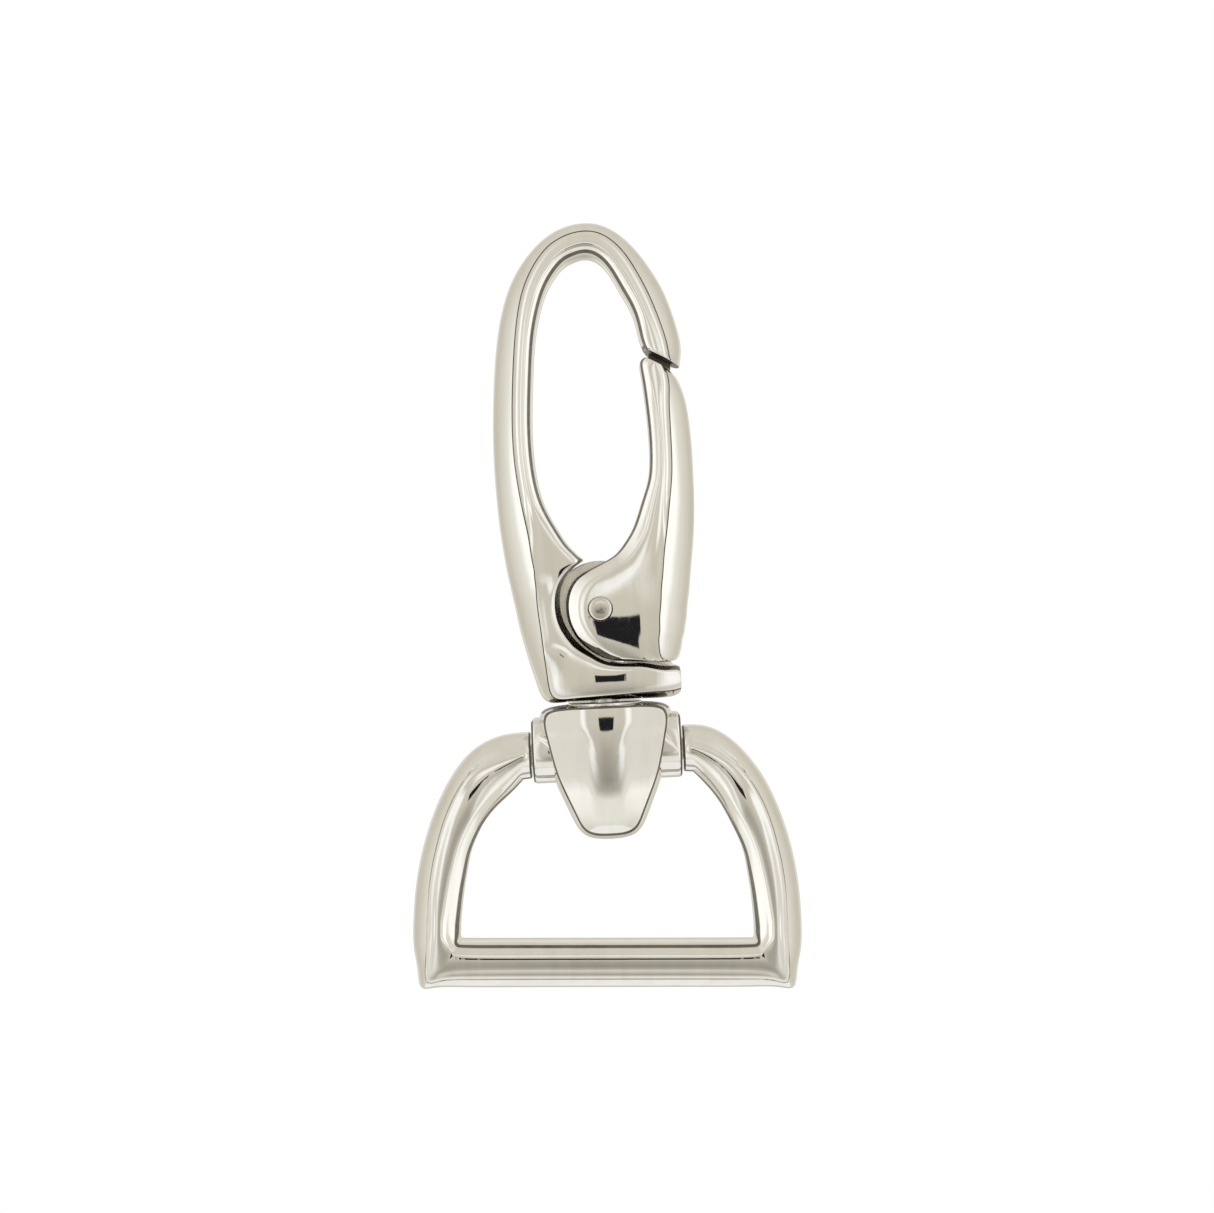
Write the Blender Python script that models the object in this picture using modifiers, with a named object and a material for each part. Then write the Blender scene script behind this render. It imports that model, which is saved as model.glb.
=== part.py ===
"""Swivel snap hook with a hinged D-ring, for a 25 mm strap.

The hook hangs upright: +Z runs up the swivel axis, +X to the gate side and +Y to the back. The origin is
the hook's seat, at the middle of the eye's crown, where the ring that it hangs on bears. In the tables
below a point is (across, height) in millimetres, with heights above the trunnion pin that carries the
D-ring.
"""

import math

import bmesh
import bpy
import numpy as np
from mathutils import Matrix, Vector

MM = 0.001

# Heights above the trunnion pin
SEAT = 43.45  # crown of the eye, which is the frame's origin
HOOK_FOOT = 4.55  # underside of the hook's base
BLOCK_TOP = 3.95
BLOCK_TOE = -7.55
BAR_FACE = -16.85  # flat face of the D-ring's bar, which the strap bears on
BAR_FOOT = -20.65

# Gate hinge
PIVOT = (0.0, 12.6)
PIN_R = 0.75
PIN_HEAD_R = 1.0
PIN_HEAD_DEEP = 0.4
RUNNING = 0.08  # radial clearance of a pin in its bore
TONGUE_R = 4.2
TONGUE_HALF = 0.66
SLOT_R = 4.5
SLOT_HALF = 0.9
CASTING_HALF = 2.5  # half the thickness of hook and gate
BASE_HALF = 3.3  # the same at the foot of the hook's base
FLARE_START = 11.0  # height from which the hook thickens towards its base

# Return spring, in the gate's rear cheek
SPRING_R = 1.55
WIRE_R = 0.2
SPRING_TURNS = 2
SPRING_START = 1.2
SPRING_PITCH = 0.42
RECESS_R = 2.25
RECESS_DEEP = 2.2
LEG_REACH = 3.1
LEG_TURN = 55.0  # degrees above +X, where the spring's free leg leaves the coil

# Swivel
POST_R = 1.2
POST_HEAD_R = 1.8
POST_HEAD_TALL = 1.0
CHAMBER_R = 1.95
CHAMBER_FLOOR = 5.7
CHAMBER_TOP = 7.9
WASHER_R = 3.25
THRUST_R = 1.75
THRUST_THICK = 0.2

# Trunnion
TRUNNION_R = 0.95
TRUNNION_HALF = 8.9
BOSS_R = 2.5
BOSS_END = 6.3
RING_END = 6.65  # face of the D-ring's end collar
COLLAR = 7.45
COLLAR_R = 2.05
RING_HALF = 2.4
BORE_END = 9.2

FACETS = 32
STEPS = 2  # rows that the smooth path makes for each tabled station
WELD = 0.00001  # metres
THROUGH = 8.0  # length of a bore's tool that passes right through a casting
HOOK_CHAMFER = 0.35  # inner front edge of the hook
GATE_CHAMFER = 0.5

# The tongue's foot, and the part of the gate's slot below the pivot: across, height
TONGUE_FOOT = [(-5.2, 15.6), (-5.6, 9.0), (-4.0, 6.6), (4.9, 6.6), (4.9, 10.2)]
SLOT_FOOT_LOW = (-6.0, 5.0)
SLOT_FOOT_HIGH = (5.2, 12.6)

# The bar that ends in the block's bosses, from the side: its flat top is narrower than the boss
BOSS_SHOULDER = 1.9
BOSS_FLAT = 3.2
BOSS_CORNER = 0.5
POST_FOOT = -2.2
WAIST_R = 0.8  # trunnion pin where it passes through the post

# Matched stations along the hook, from the nose round the crown, down the back and along the base:
# outer point, inner point, width of the outer bevel
HOOK_STATIONS = [
    ((7.90, 33.40), (4.85, 35.00), 0.9),
    ((8.15, 35.20), (4.50, 36.00), 1.3),
    ((7.75, 37.40), (4.20, 37.50), 1.4),
    ((7.00, 39.80), (3.70, 38.90), 1.4),
    ((5.90, 42.00), (2.95, 40.35), 1.3),
    ((4.20, 44.40), (2.00, 42.10), 1.1),
    ((2.10, 46.05), (1.00, 43.15), 1.0),
    ((0.00, 46.50), (0.00, 43.45), 1.0),
    ((-2.10, 46.05), (-1.00, 43.20), 1.0),
    ((-4.10, 44.75), (-2.00, 42.60), 1.0),
    ((-5.90, 42.60), (-3.20, 41.00), 1.2),
    ((-7.10, 40.10), (-4.00, 39.00), 1.4),
    ((-7.90, 37.00), (-4.60, 36.40), 1.6),
    ((-8.40, 33.20), (-4.95, 33.00), 1.7),
    ((-8.70, 28.80), (-5.22, 28.80), 1.75),
    ((-8.75, 25.00), (-5.10, 25.00), 1.9),
    ((-8.60, 21.30), (-4.50, 22.00), 2.2),
    ((-8.40, 19.00), (-3.40, 19.70), 2.4),
    ((-8.15, 16.90), (-2.45, 18.15), 2.4),
    ((-7.95, 15.60), (-1.60, 17.20), 2.4),
    ((-7.80, 14.80), (-1.80, 16.70), 2.3),
    ((-7.65, 13.90), (-2.60, 16.10), 2.3),
    ((-7.45, 12.80), (-3.50, 14.95), 2.2),
    ((-7.20, 11.30), (-3.90, 13.40), 2.1),
    ((-6.85, 9.70), (-3.75, 11.70), 1.9),
    ((-6.45, 8.10), (-3.10, 10.25), 1.6),
    ((-6.00, 6.50), (-2.20, 9.15), 1.3),
    ((-5.60, 5.30), (-1.20, 8.35), 1.0),
    ((-4.80, HOOK_FOOT), (-0.30, 7.80), 0.7),
    ((-3.00, HOOK_FOOT), (0.70, 7.50), 0.6),
    ((0.00, HOOK_FOOT), (2.20, 7.35), 0.6),
    ((3.20, HOOK_FOOT), (4.20, 7.30), 0.6),
    ((5.40, HOOK_FOOT), (5.60, 7.25), 0.6),
    ((6.35, 5.00), (6.30, 7.10), 0.5),
    ((6.70, 5.60), (6.70, 6.60), 0.3),
]

# The same for the gate, from its tip down to the lobe's foot
GATE_STATIONS = [
    ((7.05, 33.10), (4.95, 34.35), 0.6),
    ((7.70, 32.40), (4.45, 33.90), 1.0),
    ((8.15, 31.20), (4.55, 32.60), 1.3),
    ((8.45, 29.80), (4.75, 30.40), 1.6),
    ((8.68, 27.00), (4.93, 27.30), 1.8),
    ((8.72, 24.00), (4.80, 24.20), 1.9),
    ((8.68, 21.30), (4.20, 22.20), 2.2),
    ((8.50, 18.70), (3.40, 20.00), 2.4),
    ((8.30, 17.00), (2.70, 18.70), 2.5),
    ((8.10, 15.50), (1.72, 17.45), 2.5),
    ((7.95, 14.30), (0.60, 16.65), 2.5),
    ((7.80, 13.30), (-0.60, 16.00), 2.5),
    ((7.65, 12.40), (-1.90, 15.20), 2.4),
    ((7.55, 11.50), (-2.65, 13.90), 2.4),
    ((7.40, 10.80), (-2.80, 12.60), 2.3),
    ((7.30, 10.20), (-2.60, 11.40), 2.2),
    ((7.10, 9.60), (-1.95, 10.10), 2.1),
    ((7.00, 9.00), (-1.00, 9.10), 2.0),
    ((6.85, 8.50), (0.10, 8.40), 1.8),
    ((6.70, 8.10), (1.20, 8.05), 1.5),
    ((6.40, 7.75), (3.00, 7.85), 0.8),
]

# The same for one half of the D-ring, from the end of its collar to the middle of the bar
RING_STATIONS = [
    ((COLLAR, COLLAR_R), (COLLAR, -COLLAR_R - 0.05)),
    ((9.00, 1.85), (8.60, -3.30)),
    ((10.60, 1.15), (9.70, -4.50)),
    ((12.10, -0.05), (10.60, -5.80)),
    ((13.50, -1.80), (11.30, -7.10)),
    ((14.70, -4.00), (11.95, -8.70)),
    ((15.70, -6.60), (12.45, -10.40)),
    ((16.40, -9.20), (12.85, -12.20)),
    ((16.85, -11.90), (13.10, -14.00)),
    ((17.05, -14.50), (13.20, -15.40)),
    ((17.05, -17.00), (13.20, -16.30)),
    ((16.90, -18.90), (13.20, -16.65)),
    ((16.45, BAR_FOOT + 0.05), (13.05, BAR_FACE)),
    ((15.00, BAR_FOOT), (12.50, BAR_FACE)),
    ((12.00, BAR_FOOT), (11.00, BAR_FACE)),
    ((6.00, BAR_FOOT), (6.00, BAR_FACE)),
]
ROUND_TO_BAR = 4  # stations over which the round end becomes the bar's own section

# The swivel block at falling heights: height, half width, half depth at the middle, half depth at the side
BLOCK_LEVELS = [
    (BLOCK_TOP, 5.30, 3.15, 2.50),
    (3.60, 5.75, 3.40, 2.70),
    (2.70, 5.90, 3.50, 2.75),
    (0.60, 5.15, 3.55, 2.75),
    (-1.60, 4.75, 3.50, 2.70),
    (-3.60, 4.10, 3.35, 2.55),
    (-5.20, 3.35, 3.00, 2.30),
    (-6.40, 2.60, 2.50, 1.95),
    (-7.20, 1.80, 1.95, 1.55),
    (BLOCK_TOE, 0.90, 1.25, 1.00),
]


# ---------------------------------------------------------------- scene and materials


def clear_scene():
    for obj in list(bpy.data.objects):
        bpy.data.objects.remove(obj, do_unlink=True)


def new_collection(name):
    collection = bpy.data.collections.new(name)
    bpy.context.scene.collection.children.link(collection)
    return collection


def metal(name, colour, roughness):
    """A plain metal finish."""
    material = bpy.data.materials.new(name)
    material.use_nodes = True
    shader = material.node_tree.nodes["Principled BSDF"]
    shader.inputs["Base Color"].default_value = (*colour, 1.0)
    shader.inputs["Metallic"].default_value = 1.0
    shader.inputs["Roughness"].default_value = roughness
    return material


def place(across, height, depth=0.0):
    """A point of the part: across and height in millimetres above the trunnion, depth towards the back."""
    return Vector((across, depth, height - SEAT)) * MM


def keep(mesh, name, collection, material=None):
    """Wraps a mesh in an object of this collection."""
    obj = bpy.data.objects.new(name, mesh)
    collection.objects.link(obj)
    if material:
        mesh.materials.append(material)
        mesh.shade_smooth()
        mesh.set_sharp_from_angle(angle=math.radians(30))
    return obj


# ---------------------------------------------------------------- shapes


def smooth_path(points, steps):
    """A Catmull-Rom path through rows of numbers, with steps rows for each span."""
    rows = np.array(points, dtype=float)
    padded = np.vstack([2 * rows[0] - rows[1], rows, 2 * rows[-1] - rows[-2]])
    path = []
    for before, start, end, after in zip(padded, padded[1:], padded[2:], padded[3:]):
        for t in np.arange(steps) / steps:
            path.append(
                0.5
                * (
                    2 * start
                    + (end - before) * t
                    + (2 * before - 5 * start + 4 * end - after) * t**2
                    + (3 * start - before - 3 * end + after) * t**3
                )
            )
    path.append(rows[-1])
    return np.array(path)


def bar_section(width, half, bevel, chamfer):
    """Half of a cast bar's section, front side: (distance from the outer edge, depth) pairs.

    The outer side is a rounded bevel up to a ridge, the face is nearly flat, and the inner wall is plain.
    """
    bevel = min(bevel, 0.6 * width)
    chamfer = min(chamfer, 0.25 * width)
    return [
        (0.0, 0.0),
        (0.10 * bevel, 0.42 * half),
        (0.38 * bevel, 0.74 * half),
        (bevel, 0.96 * half),
        (width - chamfer, half),
        (width - 0.3 * chamfer, half - 0.3 * chamfer),
        (width, half - chamfer),
        (width, 0.0),
    ]


def round_section(width, half):
    """Half of an elliptical section with as many points as a bar's, from the outer edge to the inner."""
    turns = np.linspace(0, math.pi, 8)
    return [(width / 2 * (1 - math.cos(a)), half * math.sin(a)) for a in turns]


def section_ring(outer, inner, half_section):
    """The closed ring of a section that stands between an outer and an inner point."""
    outer, inner = np.array(outer), np.array(inner)
    along = (inner - outer) / np.linalg.norm(inner - outer)
    front = [(outer + along * s, -depth) for s, depth in half_section]
    back = [(outer + along * s, depth) for s, depth in half_section[-2:0:-1]]
    return [place(point[0], point[1], depth) for point, depth in front + back]


def loft(name, rings):
    """A closed body through rings of equally many points, capped at both ends."""
    shape = bmesh.new()
    rows = [[shape.verts.new(point) for point in ring] for ring in rings]
    for one, two in zip(rows, rows[1:]):
        for i in range(len(one)):
            j = (i + 1) % len(one)
            shape.faces.new((one[i], one[j], two[j], two[i]))
    shape.faces.new(rows[0][::-1])
    shape.faces.new(rows[-1])
    bmesh.ops.recalc_face_normals(shape, faces=shape.faces)
    bmesh.ops.triangulate(shape, faces=shape.faces)
    mesh = bpy.data.meshes.new(name)
    shape.to_mesh(mesh)
    shape.free()
    return mesh


def hook_half(height):
    """Half the hook's thickness where its outer edge is at this height: the base is thicker."""
    share = min(1.0, max(0.0, (FLARE_START - height) / (FLARE_START - HOOK_FOOT)))
    return CASTING_HALF + (BASE_HALF - CASTING_HALF) * share**2 * (3 - 2 * share)


def cast_bar(name, stations, chamfer, half_at):
    """The body of a hook or gate from its matched stations; half_at gives half its thickness at a height."""
    rows = smooth_path([(*outer, *inner, bevel) for outer, inner, bevel in stations], STEPS)
    rings = []
    for row in rows:
        width = math.dist(row[:2], row[2:4])
        half_section = bar_section(width, half_at(row[1]), row[4], chamfer)
        rings.append(section_ring(row[:2], row[2:4], half_section))
    return loft(name, rings)


def rod(name, radius, length, middle, axis, facets=FACETS):
    """A cylinder of this radius and length about a point, along X, Y or Z."""
    shape = bmesh.new()
    bmesh.ops.create_cone(
        shape,
        cap_ends=True,
        segments=facets,
        radius1=radius * MM,
        radius2=radius * MM,
        depth=length * MM,
    )
    turn = Vector((0, 0, 1)).rotation_difference(Vector(axis)).to_matrix().to_4x4()
    shape.transform(Matrix.Translation(middle) @ turn)
    mesh = bpy.data.meshes.new(name)
    shape.to_mesh(mesh)
    shape.free()
    return mesh


def block_between(name, low, high):
    """A box between two points."""
    shape = bmesh.new()
    bmesh.ops.create_cube(shape, size=1.0)
    size = high - low
    shape.transform(Matrix.Translation((low + high) / 2) @ Matrix.Diagonal((*size, 1.0)))
    mesh = bpy.data.meshes.new(name)
    shape.to_mesh(mesh)
    shape.free()
    return mesh


def plate(name, outline, half):
    """A flat plate of this half thickness with an outline in the hook's own plane."""
    curve = bpy.data.curves.new(name, "CURVE")
    curve.dimensions = "2D"
    curve.fill_mode = "BOTH"
    curve.extrude = half * MM
    spline = curve.splines.new("POLY")
    spline.points.add(len(outline) - 1)
    spline.use_cyclic_u = True
    for point, (across, height) in zip(spline.points, outline):
        point.co = (across * MM, (height - SEAT) * MM, 0.0, 1.0)
    flat = bpy.data.objects.new(name, curve)
    flat.rotation_euler = (math.pi / 2, 0, 0)
    bpy.context.scene.collection.objects.link(flat)
    return mesh_of(flat)


def mesh_of(flat):
    """The welded, triangulated mesh of a curve object in the part's own frame; the curve is removed."""
    bpy.context.view_layer.update()
    solid = flat.evaluated_get(bpy.context.evaluated_depsgraph_get())
    mesh = bpy.data.meshes.new_from_object(solid)
    mesh.transform(flat.matrix_world)
    shape = bmesh.new()
    shape.from_mesh(mesh)
    bmesh.ops.remove_doubles(shape, verts=shape.verts, dist=WELD)
    bmesh.ops.triangulate(shape, faces=shape.faces)
    shape.to_mesh(mesh)
    shape.free()
    bpy.data.objects.remove(flat, do_unlink=True)
    return mesh


def arc(centre, radius, start, end, count):
    """Points along an arc, in degrees from +X."""
    turns = np.radians(np.linspace(start, end, count))
    return [(centre[0] + radius * math.cos(a), centre[1] + radius * math.sin(a)) for a in turns]


# ---------------------------------------------------------------- the part


class Part:
    """The collections and finishes that the sub-parts share."""

    def __init__(self):
        self.pieces = new_collection("swivel_snap_hook")
        self.cutters = new_collection("cutters")
        self.nickel = metal("polished_nickel", (0.78, 0.76, 0.71), 0.08)
        self.pin_steel = metal("pin_steel", (0.62, 0.61, 0.58), 0.25)
        self.spring_steel = metal("spring_steel", (0.50, 0.50, 0.50), 0.35)

    def piece(self, mesh, name, material):
        return keep(mesh, name, self.pieces, material)

    def tool(self, mesh, operation, target):
        """Adds or cuts this mesh with a Boolean on the target."""
        obj = keep(mesh, mesh.name, self.cutters)
        obj.hide_render = True
        obj.display_type = "WIRE"
        change = target.modifiers.new(mesh.name, "BOOLEAN")
        change.operation = operation
        change.solver = "EXACT"
        change.object = obj


def tongue_outline():
    """The web that carries the gate's pin: a round end over the pivot, and a foot in the base."""
    return [
        *arc(PIVOT, TONGUE_R, -20, 128, 19),
        *TONGUE_FOOT,
    ]


def hook_body(part):
    mesh = cast_bar("hook_body", HOOK_STATIONS, HOOK_CHAMFER, hook_half)
    hook = part.piece(mesh, "hook_body", part.nickel)
    part.tool(plate("tongue", tongue_outline(), TONGUE_HALF), "UNION", hook)
    chamber_tall = CHAMBER_TOP - CHAMBER_FLOOR
    middle = place(0, CHAMBER_FLOOR + chamber_tall / 2)
    part.tool(rod("post_chamber", CHAMBER_R, chamber_tall, middle, (0, 0, 1)), "DIFFERENCE", hook)
    bore_long = THROUGH / 2
    bore = rod("post_bore", POST_R + RUNNING, bore_long, place(0, HOOK_FOOT), (0, 0, 1))
    part.tool(bore, "DIFFERENCE", hook)
    pin_bore = rod("tongue_bore", PIN_R + RUNNING, bore_long, place(*PIVOT), (0, 1, 0))
    part.tool(pin_bore, "DIFFERENCE", hook)
    leg_middle = place(PIVOT[0], PIVOT[1] - SPRING_R, TONGUE_HALF)
    leg_hole = rod("leg_hole", WIRE_R + RUNNING, 2 * TONGUE_HALF - 0.2, leg_middle, (0, 1, 0), 12)
    part.tool(leg_hole, "DIFFERENCE", hook)
    return hook


def gate(part):
    mesh = cast_bar("gate", GATE_STATIONS, GATE_CHAMFER, lambda height: CASTING_HALF)
    leaf = part.piece(mesh, "gate", part.nickel)
    slot = rod("slot_round", SLOT_R, 2 * SLOT_HALF, place(*PIVOT), (0, 1, 0), 48)
    part.tool(slot, "DIFFERENCE", leaf)
    low, high = place(*SLOT_FOOT_LOW, -SLOT_HALF), place(*SLOT_FOOT_HIGH, SLOT_HALF)
    foot = block_between("slot_foot", low, high)
    part.tool(foot, "DIFFERENCE", leaf)
    recess = rod("spring_recess", RECESS_R, RECESS_DEEP, place(*PIVOT, RECESS_DEEP / 2), (0, 1, 0))
    part.tool(recess, "DIFFERENCE", leaf)
    part.tool(leg_groove(), "DIFFERENCE", leaf)
    bore = rod("cheek_bore", PIN_R + RUNNING, THROUGH, place(*PIVOT), (0, 1, 0))
    part.tool(bore, "DIFFERENCE", leaf)
    seat_deep = PIN_HEAD_DEEP + RUNNING
    middle = place(*PIVOT, -CASTING_HALF + seat_deep / 2 - 0.5)
    seat = rod("head_seat", PIN_HEAD_R + RUNNING, seat_deep + 1.0, middle, (0, 1, 0))
    part.tool(seat, "DIFFERENCE", leaf)
    return leaf


def leg_groove():
    """The groove in the rear cheek that the spring's free leg lies in."""
    depth = SPRING_START + SPRING_TURNS * SPRING_PITCH
    reach = LEG_REACH + 0.2
    low = Vector((0.5, depth - WIRE_R - 0.1, -WIRE_R - 0.1)) * MM
    high = Vector((reach, depth + WIRE_R + 0.1, WIRE_R + 0.1)) * MM
    groove = block_between("leg_groove", low, high)
    groove.transform(Matrix.Translation(place(*PIVOT)) @ Matrix.Rotation(-math.radians(LEG_TURN), 4, "Y"))
    return groove


def gate_pin(part):
    """The hinge pin: a flush round head in front, and a plain end at the back."""
    front = -CASTING_HALF
    neck = front + PIN_HEAD_DEEP
    end = CASTING_HALF - 0.05
    profile = [(0, end), (PIN_R - 0.1, end), (PIN_R, end - 0.1), (PIN_R, neck)]
    profile += [(PIN_HEAD_R, neck), (PIN_HEAD_R, front + 0.08), (PIN_HEAD_R - 0.15, front), (0, front)]
    return turned(part, "gate_pin", profile, place(*PIVOT), (0, 1, 0), part.pin_steel)


def turned(part, name, profile, centre, axis, material):
    """A turned piece from its (radius, distance along the axis) profile, which runs from top to bottom."""
    shape = bmesh.new()
    verts = [shape.verts.new((radius * MM, 0, along * MM)) for radius, along in profile]
    for one, two in zip(verts, verts[1:]):
        shape.edges.new((one, two))
    mesh = bpy.data.meshes.new(name)
    shape.to_mesh(mesh)
    shape.free()
    obj = part.piece(mesh, name, material)
    obj.location = centre
    obj.rotation_mode = "QUATERNION"
    obj.rotation_quaternion = Vector((0, 0, 1)).rotation_difference(Vector(axis))
    screw = obj.modifiers.new("turn", "SCREW")
    screw.steps = screw.render_steps = FACETS
    screw.use_merge_vertices = True
    screw.merge_threshold = 0.00001
    screw.use_smooth_shade = False
    return obj


def gate_spring(part):
    """Torsion spring: a leg in the tongue, turns about the pin, and a leg along the gate's groove."""
    start = math.radians(-90)
    free = math.radians(LEG_TURN)
    sweep = SPRING_TURNS * 2 * math.pi + free - start
    count = 20 * SPRING_TURNS
    points = [(SPRING_R, start, 0.15), (SPRING_R, start, 0.7)]
    for i in range(count + 1):
        share = i / count
        depth = SPRING_START + SPRING_TURNS * SPRING_PITCH * share
        points.append((SPRING_R, start + sweep * share, depth))
    end_depth = SPRING_START + SPRING_TURNS * SPRING_PITCH
    points.append((SPRING_R + 0.3, free + 0.08, end_depth))
    points.append((LEG_REACH, free, end_depth))
    curve = bpy.data.curves.new("gate_spring", "CURVE")
    curve.dimensions = "3D"
    curve.bevel_depth = WIRE_R * MM
    curve.bevel_resolution = 2
    curve.use_fill_caps = True
    spline = curve.splines.new("POLY")
    spline.points.add(len(points) - 1)
    for point, (radius, turn, depth) in zip(spline.points, points):
        across = PIVOT[0] + radius * math.cos(turn)
        height = PIVOT[1] + radius * math.sin(turn)
        point.co = (*place(across, height, depth), 1.0)
    wire = bpy.data.objects.new("spring_wire", curve)
    bpy.context.scene.collection.objects.link(wire)
    return part.piece(mesh_of(wire), "gate_spring", part.spring_steel)


def swivel_post(part):
    """Headed post: the head turns in the hook's chamber, the shank is held in the block."""
    head_foot = CHAMBER_FLOOR + THRUST_THICK + 0.1
    top = head_foot + POST_HEAD_TALL
    profile = [(0, top), (POST_HEAD_R - 0.25, top), (POST_HEAD_R, top - 0.25), (POST_HEAD_R, head_foot)]
    profile += [(POST_R, head_foot), (POST_R, POST_FOOT + 0.3), (POST_R - 0.3, POST_FOOT), (0, POST_FOOT)]
    post = turned(part, "swivel_post", profile, place(0, 0), (0, 0, 1), part.pin_steel)
    cross = rod("post_cross_bore", WAIST_R + RUNNING, THROUGH, place(0, 0), (1, 0, 0))
    part.tool(cross, "DIFFERENCE", post)
    return post


def washer(part, name, outer, inner, low, high):
    """A flat steel ring round the post."""
    profile = [(inner, high), (outer, high), (outer, low), (inner, low), (inner, high)]
    return turned(part, name, profile, place(0, 0), (0, 0, 1), part.pin_steel)


def block_ring(level):
    """The block's closed section at one height: rounded sides and a raised middle, front and back."""
    height, half_width, middle, side = level
    half_section = [
        (0.0, 0.0),
        (0.12, 0.55 * side),
        (0.45, 0.90 * side),
        (0.36 * half_width, side + 0.15 * (middle - side)),
        (0.72 * half_width, side + 0.55 * (middle - side)),
        (half_width - 0.35, middle - 0.05),
        (half_width, middle),
    ]
    mirrored = [(2 * half_width - s, depth) for s, depth in half_section[-2::-1]]
    return section_ring((-half_width, height), (half_width, height), half_section + mirrored)


def swivel_block(part):
    rings = [block_ring(level) for level in smooth_path(BLOCK_LEVELS, STEPS)]
    block = part.piece(loft("swivel_block", rings), "swivel_block", part.nickel)
    part.tool(bosses(), "UNION", block)
    bore_middle = POST_FOOT - 0.2 + THROUGH / 2
    bore = rod("block_bore", POST_R + 0.05, THROUGH, place(0, bore_middle), (0, 0, 1))
    part.tool(bore, "DIFFERENCE", block)
    cross = rod("trunnion_bore", TRUNNION_R + 0.05, 2 * THROUGH, place(0, 0), (1, 0, 0))
    part.tool(cross, "DIFFERENCE", block)
    return block


def bosses():
    """The bar across the block that ends in a boss on each side: round below, flat on top."""
    corner = BOSS_R - BOSS_CORNER
    side = [(BOSS_R, 0.0), *arc((0, 0), BOSS_R, -10, -170, 15), (-BOSS_R, 0.0)]
    side += [(-BOSS_R, BOSS_SHOULDER), (-corner, BOSS_FLAT), (corner, BOSS_FLAT), (BOSS_R, BOSS_SHOULDER)]
    edge = BOSS_END - 0.25
    rings = []
    for across, share in ((-BOSS_END, 0.94), (-edge, 1.0), (edge, 1.0), (BOSS_END, 0.94)):
        rings.append([place(across, height * share, depth * share) for depth, height in side])
    return loft("bosses", rings)


def trunnion_pin(part):
    """The cross pin, thinned where it passes through the post."""
    chamfer = 0.15
    half = [(0, TRUNNION_HALF), (TRUNNION_R - chamfer, TRUNNION_HALF), (TRUNNION_R, TRUNNION_HALF - chamfer)]
    half += [(TRUNNION_R, 1.6), (WAIST_R, 1.45)]
    profile = half + [(radius, -along) for radius, along in half[::-1]]
    return turned(part, "trunnion_pin", profile, place(0, 0), (1, 0, 0), part.pin_steel)


def ring_rings(side):
    """The D-ring's sections from one end to the middle of the bar, on the side given by +1 or -1."""
    rows = smooth_path([(*outer, *inner) for outer, inner in RING_STATIONS], STEPS)
    end_rows = [(across, COLLAR_R, across, -COLLAR_R) for across in (RING_END, RING_END + 0.1)]
    rings = []
    for index, row in enumerate([*end_rows, *rows]):
        width = math.dist(row[:2], row[2:4])
        share = min(1.0, max(0.0, (index - 2) / (ROUND_TO_BAR * STEPS)))
        half = COLLAR_R + (RING_HALF - COLLAR_R) * share
        bar = bar_section(width, half, 1.4, 0.45)
        circle = round_section(width, half)
        blend = [
            (s * share + r * (1 - share), d * share + e * (1 - share))
            for (s, d), (r, e) in zip(bar, circle)
        ]
        outer, inner = (side * row[0], row[1]), (side * row[2], row[3])
        rings.append(section_ring(outer, inner, blend))
    return rings


def d_ring(part):
    shape = ring_rings(-1) + ring_rings(1)[::-1]
    ring = part.piece(loft("d_ring", shape), "d_ring", part.nickel)
    for side, name in ((-1, "left_end_bore"), (1, "right_end_bore")):
        length = BORE_END - RING_END + 1.0
        middle = place(side * (BORE_END - length / 2), 0)
        part.tool(rod(name, TRUNNION_R + RUNNING, length, middle, (1, 0, 0)), "DIFFERENCE", ring)
    return ring


def build():
    clear_scene()
    part = Part()
    hook_body(part)
    gate(part)
    gate_pin(part)
    gate_spring(part)
    swivel_post(part)
    thrust_low = CHAMBER_FLOOR + 0.05
    washer(part, "thrust_washer", THRUST_R, POST_R + 0.05, thrust_low, thrust_low + THRUST_THICK)
    washer(part, "swivel_washer", WASHER_R, POST_R + 0.1, BLOCK_TOP + 0.12, HOOK_FOOT - 0.12)
    swivel_block(part)
    trunnion_pin(part)
    d_ring(part)


build()
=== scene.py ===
"""Looks of a polished swivel snap hook with a hinged D-ring.

Everything is in metres in the part's own frame. The tables hold millimetres, with heights above the
trunnion pin that carries the D-ring; the frame's origin is the crown of the hook's eye.
"""

import logging
import math
from collections.abc import Callable, Sequence
from dataclasses import dataclass
from enum import Enum

import bmesh
import bpy
import numpy as np
from mathutils import Matrix, Vector


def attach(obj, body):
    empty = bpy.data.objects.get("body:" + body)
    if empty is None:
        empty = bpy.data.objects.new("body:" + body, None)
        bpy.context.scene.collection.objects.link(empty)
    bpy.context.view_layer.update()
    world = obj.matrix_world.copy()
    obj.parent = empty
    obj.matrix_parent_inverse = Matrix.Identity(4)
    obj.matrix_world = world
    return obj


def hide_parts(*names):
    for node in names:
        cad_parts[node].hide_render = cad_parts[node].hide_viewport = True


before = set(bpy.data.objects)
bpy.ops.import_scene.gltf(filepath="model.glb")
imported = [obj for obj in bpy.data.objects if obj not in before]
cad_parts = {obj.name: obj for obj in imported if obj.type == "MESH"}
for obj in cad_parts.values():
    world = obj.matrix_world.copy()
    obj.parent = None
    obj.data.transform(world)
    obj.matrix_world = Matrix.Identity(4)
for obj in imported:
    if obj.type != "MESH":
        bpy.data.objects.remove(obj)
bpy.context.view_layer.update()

LOG = logging.getLogger("swivel_hook")
MM = 0.001
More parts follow.
